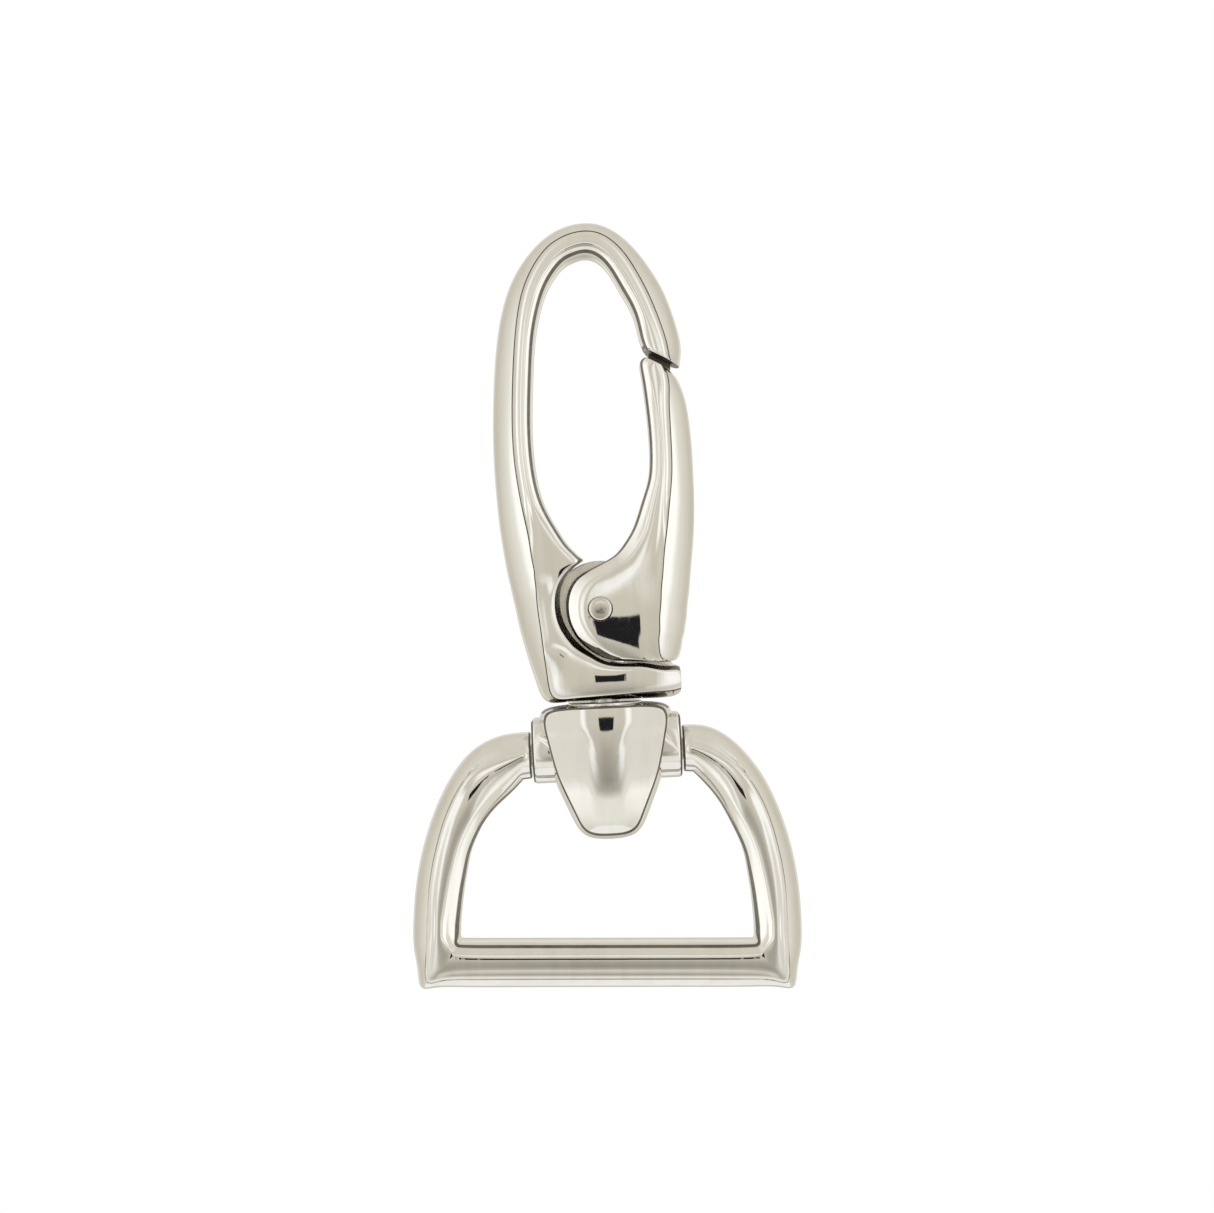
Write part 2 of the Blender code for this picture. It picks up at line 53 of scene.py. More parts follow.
# Heights above the trunnion: crown of the eye, gate pin, hook's underside, and the D-ring bar's two faces
SEAT = 43.45
PIVOT = (0.0, 12.6)
HOOK_FOOT = 4.55
BAR_FACE = -16.45
BAR_FOOT = -20.65
WELD = 1e-8
SPIN_STEPS = 96
SECTION_POINTS = 36
# Faces given painted shade: how squarely they face a direction, the nose's direction, and the heights they
# lie at
FACING = 0.6
NOSE_FACE = Vector((-0.47, 0.0, -0.88))
NOSE_HEIGHTS = (32.9, 35.3)
TIP_HEIGHTS = (32.9, 34.8)
BLOCK_TOP_HEIGHTS = (3.6, 4.5)

Point = tuple[float, float]
Span = tuple[float, float]
Triple = tuple[float, float, float]
Outline = list[Point]
Ring = list[Vector]
Station = tuple[Point, Point, float]
Stops = tuple[Point, ...]
Socket = bpy.types.NodeSocket
Source = Socket | float | tuple[float, ...]


class Axis(Enum):
    """Direction that a turned or extruded piece runs along."""

    ACROSS = (1.0, 0.0, 0.0)
    DEEP = (0.0, 1.0, 0.0)
    UP = (0.0, 0.0, 1.0)


class Coat(Enum):
    """Which of a cast piece's three finishes a face has; the second is a near-black coat of painted shade.
    """

    BRIGHT = 0
    # Near-black coat: painted shade
    PAINTED_SHADE = 1
    SATIN = 2


class Join(Enum):
    """How a tool solid changes the piece that it meets."""

    ADD = "UNION"
    CUT = "DIFFERENCE"


def place(across: float, height: float, depth: float = 0.0) -> Vector:
    """Turns millimetres to the gate side, above the trunnion and to the back into a point of the frame."""
    return Vector((across, depth, height - SEAT)) * MM


def smooth_step(low: float, high: float, value: float) -> float:
    """Eased share, from 0 to 1, of the way that a value has gone from low to high."""
    share = min(1.0, max(0.0, (value - low) / (high - low)))
    return share * share * (3 - 2 * share)


# ---------------------------------------------------------------- dimensions

# Matched stations along the hook, from the nose round the crown, down the back and along the base:
# outer point, inner point, width of the outer facet
HOOK_STATIONS = [
    ((7.90, 33.40), (4.85, 35.00), 0.9),
    ((8.15, 35.20), (4.50, 36.00), 1.3),
    ((7.75, 37.40), (4.20, 37.50), 1.4),
    ((7.00, 39.80), (3.70, 38.90), 1.4),
    ((5.90, 42.00), (2.95, 40.35), 1.3),
    ((4.20, 44.40), (2.00, 42.10), 1.1),
    ((2.10, 46.05), (1.00, 43.15), 1.0),
    ((0.00, 46.50), (0.00, 43.45), 1.0),
    ((-2.10, 46.05), (-1.00, 43.20), 1.0),
    ((-4.10, 44.75), (-2.00, 42.60), 1.0),
    ((-5.90, 42.60), (-3.20, 41.00), 1.2),
    ((-7.10, 40.10), (-4.00, 39.00), 1.4),
    ((-7.90, 37.00), (-4.60, 36.40), 1.6),
    ((-8.40, 33.20), (-4.95, 33.00), 1.7),
    ((-8.70, 28.80), (-5.22, 28.80), 1.75),
    ((-8.75, 25.00), (-5.10, 25.00), 1.9),
    ((-8.60, 21.30), (-4.50, 22.00), 2.2),
    ((-8.40, 19.00), (-3.40, 19.70), 2.4),
    ((-8.15, 16.90), (-2.45, 18.15), 2.4),
    ((-7.95, 15.60), (-1.60, 17.20), 2.4),
    ((-7.80, 14.80), (-1.80, 16.70), 2.3),
    ((-7.65, 13.90), (-2.60, 16.10), 2.3),
    ((-7.45, 12.80), (-3.50, 14.95), 2.2),
    ((-7.20, 11.30), (-3.90, 13.40), 2.1),
    ((-6.85, 9.70), (-3.75, 11.70), 1.9),
    ((-6.45, 8.10), (-3.10, 10.25), 1.6),
    ((-6.00, 6.50), (-2.20, 9.15), 1.3),
    ((-5.60, 5.30), (-1.20, 8.35), 1.0),
    ((-4.80, HOOK_FOOT), (-0.30, 7.80), 0.7),
    ((-3.00, HOOK_FOOT), (0.70, 7.50), 0.6),
    ((0.00, HOOK_FOOT), (2.20, 7.35), 0.6),
    ((3.20, HOOK_FOOT), (4.20, 7.30), 0.6),
    ((5.40, HOOK_FOOT), (5.60, 7.35), 0.6),
    ((6.35, 4.75), (6.35, 7.35), 0.5),
    ((6.72, 5.05), (6.72, 7.20), 0.3),
]

# The same for the gate, from its tip down to the lobe's foot
GATE_STATIONS = [
    ((7.05, 33.10), (4.95, 34.35), 0.6),
    ((7.70, 32.40), (4.45, 33.90), 1.0),
    ((8.15, 31.20), (4.55, 32.60), 1.3),
    ((8.45, 29.80), (4.75, 30.40), 1.6),
    ((8.68, 27.00), (4.93, 27.30), 1.8),
    ((8.72, 24.00), (4.80, 24.20), 1.9),
    ((8.68, 21.30), (4.20, 22.20), 2.2),
    ((8.50, 18.70), (3.40, 20.00), 2.4),
    ((8.30, 17.00), (2.70, 18.70), 2.5),
    ((8.10, 15.50), (1.72, 17.45), 2.5),
    ((7.95, 14.30), (0.60, 16.65), 2.5),
    ((7.80, 13.30), (-0.60, 16.00), 2.5),
    ((7.65, 12.40), (-1.90, 15.20), 2.4),
    ((7.55, 11.50), (-2.65, 13.90), 2.4),
    ((7.40, 10.80), (-2.80, 12.60), 2.3),
    ((7.30, 10.20), (-2.60, 11.40), 2.2),
    ((7.10, 9.60), (-1.95, 10.10), 2.1),
    ((7.00, 9.00), (-1.00, 9.10), 2.0),
    ((6.85, 8.50), (0.10, 8.40), 1.8),
    ((6.70, 8.10), (1.20, 8.05), 1.5),
    ((6.40, 7.75), (3.00, 7.85), 0.8),
]

# Outer and inner points along one half of the D-ring, from its collar to the middle of the bar
RING_STATIONS = [
    ((7.45, 2.05), (7.45, -2.10)),
    ((9.00, 1.85), (8.60, -3.30)),
    ((10.60, 1.15), (9.70, -4.50)),
    ((12.10, -0.05), (10.60, -5.80)),
    ((13.50, -1.80), (11.30, -7.10)),
    ((14.70, -4.00), (11.95, -8.70)),
    ((15.70, -6.60), (12.30, -10.40)),
    ((16.40, -9.20), (12.60, -12.20)),
    ((16.85, -11.90), (12.80, -14.00)),
    ((17.05, -14.50), (12.90, -15.20)),
    ((17.05, -17.00), (12.90, -16.00)),
    ((16.72, -18.90), (12.90, -16.30)),
    ((16.40, BAR_FOOT + 0.02), (12.75, BAR_FACE)),
    ((15.00, BAR_FOOT), (12.50, BAR_FACE)),
    ((12.00, BAR_FOOT), (11.00, BAR_FACE)),
    ((6.00, BAR_FOOT), (6.00, BAR_FACE)),
]

# The tongue's foot, and the part of the gate's slot below the pivot
TONGUE_FOOT = [(-5.2, 15.6), (-5.6, 9.0), (-4.0, 6.6), (6.1, 6.6), (6.1, 7.58), (4.9, 7.6), (4.9, 10.2)]
SLOT_FOOT_LOW = (-6.0, 5.0)
SLOT_FOOT_HIGH = (5.2, 12.6)

# Right half of the swivel block's outline at its front edge and at its middle plane, from the top down
SHIELD_FRONT = [
    (0.0, 4.15), (1.8, 4.15), (3.6, 4.1), (4.8, 3.92), (5.3, 3.45), (5.35, 2.5), (5.05, 1.0),
    (4.75, -0.4), (4.4, -1.7), (4.0, -2.8), (3.5, -4.0), (2.95, -5.3), (2.55, -6.2), (2.05, -6.8),
    (1.2, -7.12), (0.0, -7.18),
]
SHIELD_WAIST = [
    (0.0, 4.28), (1.9, 4.28), (3.8, 4.25), (5.2, 4.0), (5.75, 3.5), (5.85, 2.6), (5.5, 1.0),
    (5.2, -0.4), (4.85, -1.8), (4.45, -3.0), (3.95, -4.2), (3.4, -5.5), (2.9, -6.5), (2.25, -7.2),
    (1.3, -7.55), (0.0, -7.65),
]


# ---------------------------------------------------------------- finishes


def add_node(
    tree: bpy.types.NodeTree, kind: str, output: str, inputs: dict[str | int, Source], **settings: str
) -> Socket:
    """Adds a shader node.

    Args:
        tree: the node tree.
        kind: the node's type.
        output: the output that is wanted.
        inputs: a value or a socket for each input that isn't left as it is.
        settings: the node's own settings.

    Returns:
        The output's socket.
    """
    node = tree.nodes.new(kind)
    for name, value in settings.items():
        setattr(node, name, value)
    for name, value in inputs.items():
        if isinstance(value, Socket):
            tree.links.new(value, node.inputs[name])
        else:
            node.inputs[name].default_value = value
    return node.outputs[output]


@dataclass(frozen=True)
class Finish:
    """A plated or bare metal, dressed with polish marks, faint casting waves and dulled patches.

    Attributes:
        slot: the record's material slot.
        state: how the slot's metal is finished here.
        colour: base colour of the clean metal.
        dull_and_shade: colour where the polish has dulled; in the painted-shade coat, the darker of its two
            shade colours.
        gloss: lowest and highest roughness.
        wave: height of the faint waves that polishing leaves, in metres.
        hairline: height of the hairline scratches, in metres.
    """

    slot: str
    state: str
    colour: Triple
    dull_and_shade: Triple
    gloss: Span
    wave: float
    hairline: float

    def material(self) -> bpy.types.Material:
        """Builds the finish's material once, and gives the same one after that.

        Returns:
            The material.
        """
        found = bpy.data.materials.get(f"{self.slot}_{self.state}")
        if found:
            return found
        material = bpy.data.materials.new(f"{self.slot}_{self.state}")
        material.use_nodes = True
        tree = material.node_tree
        shader = tree.nodes["Principled BSDF"]
        shader.inputs["Metallic"].default_value = 1.0
        where = add_node(tree, "ShaderNodeTexCoord", "Object", {})
        broad = self._noise(tree, where, (1.0, 1.0, 0.12), 900.0, 2.0)
        fine = self._noise(tree, where, (1.0, 1.0, 1.0), 2600.0, 3.0)
        hairs = self._noise(tree, where, (0.12, 1.0, 3.2), 5200.0, 2.0)
        worn = self._ramp(tree, broad, (0.42, 0.72), (0.0, 1.0))
        shades = {"Factor": worn, "A": (*self.colour, 1.0), "B": (*self.dull_and_shade, 1.0)}
        tint = add_node(tree, "ShaderNodeMix", "Result", shades, data_type="RGBA")
        rough = self._ramp(tree, fine, (0.3, 0.75), self.gloss)
        waves = self._bump(tree, broad, self.wave, {})
        marks = self._bump(tree, hairs, self.hairline, {"Normal": waves})
        for socket, name in ((tint, "Base Color"), (rough, "Roughness"), (marks, "Normal")):
            tree.links.new(socket, shader.inputs[name])
        return material

    @staticmethod
    def _noise(
        tree: bpy.types.NodeTree, where: Socket, stretch: Triple, scale: float, detail: float
    ) -> Socket:
        """Noise on the piece's own coordinates, stretched along its axes, in cells per metre."""
        spot = add_node(tree, "ShaderNodeMapping", "Vector", {"Vector": where, "Scale": stretch})
        inputs = {"Vector": spot, "Scale": scale, "Detail": detail}
        return add_node(tree, "ShaderNodeTexNoise", "Fac", inputs)

    @staticmethod
    def _ramp(tree: bpy.types.NodeTree, value: Socket, source: Span, target: Span) -> Socket:
        """Maps a socket's source range onto a target range."""
        names = ("From Min", "From Max", "To Min", "To Max")
        return add_node(
            tree, "ShaderNodeMapRange", "Result", {"Value": value, **dict(zip(names, (*source, *target)))}
        )

    @staticmethod
    def _bump(
        tree: bpy.types.NodeTree, height: Socket, distance: float, under: dict[str, Socket]
    ) -> Socket:
        """The normal of a bump of this height in metres, over the normal that it has under it, if any."""
        inputs = {"Strength": 1.0, "Distance": distance, "Height": height, **under}
        return add_node(tree, "ShaderNodeBump", "Normal", inputs)


NICKEL = Finish(
    slot="polished_nickel", state="bright", colour=(0.80, 0.79, 0.745), dull_and_shade=(0.76, 0.745, 0.695),
    gloss=(0.015, 0.04), wave=9.0e-6, hairline=2.0e-8,
)
# Near-black metal: painted shade in creases, steep strips and gaps between pieces
PAINTED_SHADE = Finish(
    slot="polished_nickel", state="painted_shade", colour=(0.16, 0.145, 0.12), dull_and_shade=(0.10, 0.09, 0.08),
    gloss=(0.22, 0.4), wave=1.5e-6, hairline=1.5e-7,
)
SATIN = Finish(
    slot="polished_nickel", state="satin", colour=(0.74, 0.71, 0.65), dull_and_shade=(0.66, 0.63, 0.57),
    gloss=(0.3, 0.42), wave=1.0e-6, hairline=1.2e-7,
)
NICKEL_PIN = Finish(
    slot="polished_nickel", state="pin", colour=(0.74, 0.715, 0.66), dull_and_shade=(0.68, 0.65, 0.60),
    gloss=(0.09, 0.2), wave=1.5e-6, hairline=6.0e-8,
)
PIN_STEEL = Finish(
    slot="pin_steel", state="plain", colour=(0.72, 0.70, 0.65), dull_and_shade=(0.62, 0.60, 0.56),
    gloss=(0.12, 0.26), wave=1.5e-6, hairline=1.2e-7,
)
SPRING_STEEL = Finish(
    slot="spring_steel", state="plain", colour=(0.55, 0.54, 0.52), dull_and_shade=(0.45, 0.44, 0.42),
    gloss=(0.22, 0.38), wave=1.0e-6, hairline=2.0e-7,
)


# ---------------------------------------------------------------- modelling by hand


class Bench:
    """The hand operations that the pieces are made with."""

    @staticmethod
    def pick(piece: bpy.types.Object) -> None:
        """Makes one object the only selected one.

        Args:
            piece: the object to pick.
        """
        Bench.rest()
        piece.select_set(True)
        bpy.context.view_layer.objects.active = piece

    @staticmethod
    def rest() -> None:
        """Leaves edit mode and deselects every object."""
        if bpy.context.object and bpy.context.object.mode != "OBJECT":
            bpy.ops.object.mode_set(mode="OBJECT")
        bpy.ops.object.select_all(action="DESELECT")

    @staticmethod
    def extrude_through(
        name: str, rings: list[Ring], painted_shade: frozenset[int] = frozenset(), dull_and_shade: tuple[int, ...] = ()
    ) -> bpy.types.Object:
        """Extrudes a filled ring through each section in turn, which leaves a closed solid.

        Args:
            name: the new object's name.
            rings: the sections, with equally many points each.
            painted_shade: the spans of a section, by their first point, that take the near-black coat of
                painted shade.
            dull_and_shade: the sections whose band of faces to the next section takes painted shade.

        Returns:
            The solid.
        """
        Bench.rest()
        bpy.ops.mesh.primitive_circle_add(vertices=len(rings[0]), radius=MM, fill_type="NGON")
        piece = bpy.context.object
        piece.name = piece.data.name = name
        bpy.ops.object.mode_set(mode="EDIT")
        Bench._move_selected_face(piece, rings[0])
        for ring in rings[1:]:
            bpy.ops.mesh.extrude_region_move()
            Bench._move_selected_face(piece, ring)
        Bench._close()
        for finish in (NICKEL, PAINTED_SHADE, SATIN):
            piece.data.materials.append(finish.material())
        count = len(rings[0])
        for face in piece.data.polygons:
            places = sorted({index % count for index in face.vertices})
            first = places[-1] if places[0] == 0 and places[-1] == count - 1 else places[0]
            start, end = min(face.vertices) // count, max(face.vertices) // count
            # Listed spans along the piece and listed bands round it take the near-black coat: painted shade
            along, round_it = len(places) == 2 and first in painted_shade, end == start + 1 and start in dull_and_shade
            face.material_index = (Coat.PAINTED_SHADE if along or round_it else Coat.BRIGHT).value
        return piece

    @staticmethod
    def _move_selected_face(piece: bpy.types.Object, ring: Ring) -> None:
        """Moves the corners of the selected face onto a ring.

        Args:
            piece: the object in edit mode.
            ring: where its corners go, in order.
        """
        shape = bmesh.from_edit_mesh(piece.data)
        face = next(face for face in shape.faces if face.select)
        for vert, point in zip(face.verts, ring):
            vert.co = point
        bmesh.update_edit_mesh(piece.data)

    @staticmethod
    def _close() -> None:
        """Turns every face of the object in edit mode outwards and leaves edit mode."""
        bpy.ops.mesh.select_all(action="SELECT")
        bpy.ops.mesh.normals_make_consistent(inside=False)
        bpy.ops.object.mode_set(mode="OBJECT")

    @staticmethod
    def spin(name: str, profile: Outline, foot: Vector, axis: Axis) -> bpy.types.Object:
        """Spins a profile round an axis.

        Args:
            name: the new object's name.
            profile: (radius, distance along the axis) pairs; it closes on itself unless it starts and
                ends on the axis.
            foot: the point of the axis that distances are measured from.
            axis: the axis.

        Returns:
            The solid.
        """
        Bench.rest()
        along = Vector(axis.value)
        aside = along.orthogonal().normalized()
        bpy.ops.mesh.primitive_circle_add(vertices=len(profile), radius=MM, fill_type="NOTHING")
        piece = bpy.context.object
        piece.name = piece.data.name = name
        bpy.ops.object.mode_set(mode="EDIT")
        shape = bmesh.from_edit_mesh(piece.data)
        shape.verts.ensure_lookup_table()
        for vert, (radius, distance) in zip(shape.verts, profile):
            vert.co = foot + (aside * radius + along * distance) * MM
        if profile[0][0] == 0.0 and profile[-1][0] == 0.0:
            shape.edges.remove(shape.edges.get((shape.verts[0], shape.verts[-1])))
        bmesh.update_edit_mesh(piece.data)
        bpy.ops.mesh.select_all(action="SELECT")
        bpy.ops.mesh.spin(steps=SPIN_STEPS, angle=math.tau, center=foot, axis=along)
        bpy.ops.mesh.select_all(action="SELECT")
        bpy.ops.mesh.remove_doubles(threshold=WELD)
        Bench._close()
        return piece

    @staticmethod
    def drill(piece: bpy.types.Object, radius: float, length: float, middle: Vector, axis: Axis) -> None:
        """Drills a piece.

        Args:
            piece: the piece.
            radius: the hole's radius.
            length: how far the drill reaches.
            middle: the middle of that reach, in the frame.
            axis: the hole's axis.
        """
        Bench.rest()
        bpy.ops.mesh.primitive_cylinder_add(vertices=SPIN_STEPS, radius=radius * MM, depth=length * MM)
        tool = bpy.context.object
        turn = Vector((0, 0, 1)).rotation_difference(Vector(axis.value)).to_matrix().to_4x4()
        tool.data.transform(Matrix.Translation(middle) @ turn)
        Bench.combine(piece, tool, Join.CUT)

    @staticmethod
    def box(low: Vector, high: Vector) -> bpy.types.Object:
        """A box between two corners that a Boolean uses.

        Args:
            low: lowest corner.
            high: highest corner.

        Returns:
            The box.
        """
        Bench.rest()
        bpy.ops.mesh.primitive_cube_add(size=1.0)
        tool = bpy.context.object
        tool.data.transform(Matrix.Translation((low + high) / 2) @ Matrix.Diagonal((*(high - low), 1.0)))
        return tool

    @staticmethod
    def combine(piece: bpy.types.Object, tool: bpy.types.Object, join: Join) -> None:
        """Joins a tool to a piece or cuts the piece with it, and removes the tool.

        Args:
            piece: the piece that changes.
            tool: the solid that changes it.
            join: how.
        """
        Bench.pick(piece)
        change = piece.modifiers.new("combine", "BOOLEAN")
        change.operation = join.value
        change.solver = "EXACT"
        change.object = tool
        bpy.ops.object.modifier_apply(modifier=change.name)
        bpy.data.objects.remove(tool, do_unlink=True)

    @staticmethod
    def paint_shade(piece: bpy.types.Object, direction: Vector, heights: Span, deep: float = 9.0) -> None:
        """Paints shade, with the near-black coat, on the faces that face a direction, between two heights.

        Args:
            piece: the piece.
            direction: the direction, of length 1.
            heights: lowest and highest height above the trunnion.
            deep: distance from the middle plane within which they lie.
        """
        low, high = heights
        for face in piece.data.polygons:
            inside = low < face.center.z / MM + SEAT < high and abs(face.center.y) < deep * MM
            if inside and face.normal.dot(direction) > FACING:
                face.material_index = Coat.PAINTED_SHADE.value

    @staticmethod
    def coat(piece: bpy.types.Object, coat: Coat) -> bpy.types.Object:
        """Gives every face of a piece the same finish.

        Args:
            piece: the piece.
            coat: the finish.

        Returns:
            The piece.
        """
        for face in piece.data.polygons:
            face.material_index = coat.value
        return piece

    @staticmethod
    def polish(piece: bpy.types.Object, finish: Finish, body: str, sharp: float = 34.0) -> bpy.types.Object:
        """Shades a piece, gives it its finish and sets it in the part in place of the plain one.

        Args:
            piece: the piece, named as the plain piece that it stands for, with "_fine" added.
            finish: its finish.
            body: the moving body that it rides on.
            sharp: degrees from which an edge shows as an edge.

        Returns:
            The piece.
        """
        Bench.pick(piece)
        if not piece.data.materials or finish is not NICKEL:
            piece.data.materials.clear()
            piece.data.materials.append(finish.material())
        bpy.ops.object.shade_smooth_by_angle(angle=math.radians(sharp))
        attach(piece, body)
        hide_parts(piece.name.removesuffix("_fine"))
        return piece


# ---------------------------------------------------------------- sections


def smooth_path(points: Sequence[tuple[float, ...]], steps: int) -> np.ndarray:
    """Rows of a curve with continuous curvature that passes almost through the given rows.

    Args:
        points: rows of numbers.
        steps: rows that each span becomes.

    Returns:
        The rows of the curve.
    """
    rows = np.array(points, dtype=float)
    control = rows.copy()
    for _ in range(4):
        padded = np.vstack([2 * control[0] - control[1], control, 2 * control[-1] - control[-2]])
        control += rows - (padded[:-2] + 4 * padded[1:-1] + padded[2:]) / 6
    control = np.vstack([2 * control[0] - control[1], control, 2 * control[-1] - control[-2]])
    path = []
    for a, b, c, d in zip(control, control[1:], control[2:], control[3:]):
        for t in np.arange(steps) / steps:
            near = (1 - t) ** 3 * a + (3 * t**3 - 6 * t**2 + 4) * b
            far = (-3 * t**3 + 3 * t**2 + 3 * t + 1) * c + t**3 * d
            path.append((near + far) / 6)
    path.append(rows[-1])
    return np.array(path)


@dataclass(frozen=True)
class BarSection:
    """Half the section of a cast bar: outer facet, crease, bead with a flat face, inner facet and wall.

    Attributes:
        ridge: share of the half thickness that the outer facet reaches.
        inner: width of the inner facet.
        slope: fall of the inner facet for each millimetre.
        strip: width of the steep strip between the inner facet and the wall.
        bulge: how far the wall stands out at the middle of the thickness.
        crown: fall of the bead's face from its middle to its edges.
        crease: depth of the crease between the face and the inner facet.
    """

    ridge: float
    inner: float
    slope: float = 0.36
    strip: float = 0.3
    bulge: float = 0.15
    crown: float = 0.03
    crease: float = 0.0

    def half(self, width: float, thick: float, facet: float) -> Outline:
        """The section's points from the outer edge over the face to the inner wall's middle.

        Args:
            width: distance from the outer to the inner edge.
            thick: half the bar's thickness.
            facet: width of the outer facet.

        Returns:
            (distance from the outer edge, depth) pairs.
        """
        facet = min(facet, 0.55 * width)
        share = min(1.0, 0.6 * (width - facet) / (self.inner + self.strip + self.bulge + 0.45))
        inner, strip, bulge = self.inner * share, self.strip * share, self.bulge * share
        top, edge = self.ridge * thick, thick - self.crown
        points = []
        for turn in np.radians(np.linspace(0, 60, 11)):
            depth = top * math.sin(turn) / math.sin(math.radians(60))
            points.append((2 * facet * (1 - math.cos(turn)), depth))
        rise = edge - top
        step = 0.55 * rise
        notch = min(0.05, 0.2 * rise + 0.02)
        points.append((facet + 0.04, top - notch))
        points.append((facet + 0.06 + step, top + 0.72 * rise))
        rounding = min(0.45, 0.35 * (width - facet)) * share
        start = facet + 0.06 + step + rounding
        tight = smooth_step(0.04, 0.15, rise / thick)
        for part in (0.25, 0.5, 0.75):
            lift = 0.72 + 0.28 * (tight * math.sin(part * math.pi / 2) + (1 - tight) * part**0.75)
            points.append((start - rounding * (1 - part), top + rise * lift))
        end = width - bulge - strip - 0.06 - inner
        for part in np.linspace(0, 1, 9):
            points.append((start + (end - start) * part, thick - self.crown * (2 * part - 1) ** 2))
        points.append((end + 0.04 * share, edge - 0.35 * 0.04 * self.slope - self.crease))
        for part in (0.3, 0.6, 0.85, 1.0):
            points.append((end + inner * part, edge - inner * self.slope * part * (0.85 + 0.15 * part)))
        low = edge - inner * self.slope
        points.append((end + inner + 0.045, low - 0.07))
        points.append((end + inner + 0.06, low - 0.16))
        foot = max(0.35 * thick, low - 0.16 - 2.2 * strip)
        points.append((width - bulge, foot))
        points.append((width - 0.35 * bulge, 0.6 * foot))
        points.append((width, 0.25 * foot))
        points.append((width, 0.0))
        return points


# Points at which a bar section's crease and its steep strip start, on the front half; both spans take
# painted shade
CREASE_POINTS = (10,)
STRIP_POINTS = (30, 31)


def painted_shade_spans(count: int, starts: tuple[int, ...]) -> frozenset[int]:
    """First points of painted-shade spans on both halves of a section of count points, from those on the
    front half.
    """
    return frozenset(starts) | frozenset(count - start - 1 for start in starts)


def round_half(width: float, thick: float, count: int) -> Outline:
    """Half an elliptical section: (distance from the outer edge, depth) pairs up to the inner edge."""
    turns = np.linspace(0, math.pi, count)
    return [(width / 2 * (1 - math.cos(a)), thick * math.sin(a)) for a in turns]


def section_ring(
    outer: Sequence[float], inner: Sequence[float], half: Outline, swell: Callable | None = None
) -> Ring:
    """The closed ring of a section that stands between an outer and an inner point.

    Args:
        outer: the outer point.
        inner: the inner point.
        half: the front half of the section.
        swell: factor on the depth at a point, or None.

    Returns:
        The ring.
    """
    outer, inner = np.array(outer), np.array(inner)
    along = (inner - outer) / np.linalg.norm(inner - outer)
    front = [(outer + along * s, -depth) for s, depth in half]
    back = [(outer + along * s, depth) for s, depth in half[-2:0:-1]]
    ring = []
    for point, depth in front + back:
        factor = swell(*point) if swell else 1.0
        ring.append(place(point[0], point[1], depth * factor))
    return ring


def round_end(rings: list[Ring], radius: float) -> list[Ring]:
    """Rounds the last section of a bar.

    Args:
        rings: the bar's sections.
        radius: radius of the rounding.

    Returns:
        The sections with a rounded end.
    """
    last = rings[-1]
    middle = sum(last, Vector()) / len(last)
    before = sum(rings[-2], Vector()) / len(rings[-2])
    aside = (last[0] - last[(len(last)) // 2]).normalized()
    normal = aside.cross(Vector((0, 1, 0))).normalized()
    if normal.dot(middle - before) < 0:
        normal.negate()
    wide = max(abs((point - middle).dot(aside)) for point in last)
    deep = max(abs((point - middle).y) for point in last)
    ended = rings[:-1]
    for turn in np.radians((0, 22, 45, 67, 90)):
        inset, forward = radius * MM * (1 - math.cos(turn)), radius * MM * (math.sin(turn) - 1)
        ring = []
        for point in last:
            away = point - middle
            drawn_in = aside * away.dot(aside) * inset / wide + Vector((0, away.y * inset / deep, 0))
            ring.append(point - drawn_in + normal * forward)
        ended.append(ring)
    return ended


def arc(centre: Point, radius: float, start: float, end: float, count: int) -> Outline:
    """Points along an arc that starts and ends at these degrees from +X."""
    turns = np.radians(np.linspace(start, end, count))
    return [(centre[0] + radius * math.cos(a), centre[1] + radius * math.sin(a)) for a in turns]


# ---------------------------------------------------------------- hook


@dataclass
class CastBar:
    """A cast bar through matched stations. The hook and the gate each give its section and swelling."""

    half: float = 2.5
    bore_r: float = 0.83
    arm: Span = (15.5, 24.0)

    def rings(self, stations: list[Station], steps: int) -> list[Ring]:
        """The bar's sections.

        Args:
            stations: the stations that it runs through.
            steps: sections from one station to the next.

        Returns:
            The sections.
        """
        rings = []
        for row in smooth_path([(*outer, *inner, facet) for outer, inner, facet in stations], steps):
            outer, inner, facet = row[:2], row[2:4], row[4]
            section, more = self.section(outer, inner)
            width = math.dist(outer, inner)
            longer = 1 + more / width
            half = section.half(width * longer, self.half, facet)
            rings.append(section_ring(outer, outer + (inner - outer) * longer, half, self.swelling))
        return rings

    @staticmethod
    def solid(name: str, rings: list[Ring]) -> bpy.types.Object:
        """Makes the bar a solid, with painted shade on its creases and steep strips."""
        spans = painted_shade_spans(len(rings[0]), CREASE_POINTS + STRIP_POINTS)
        return Bench.extrude_through(name, rings, spans)


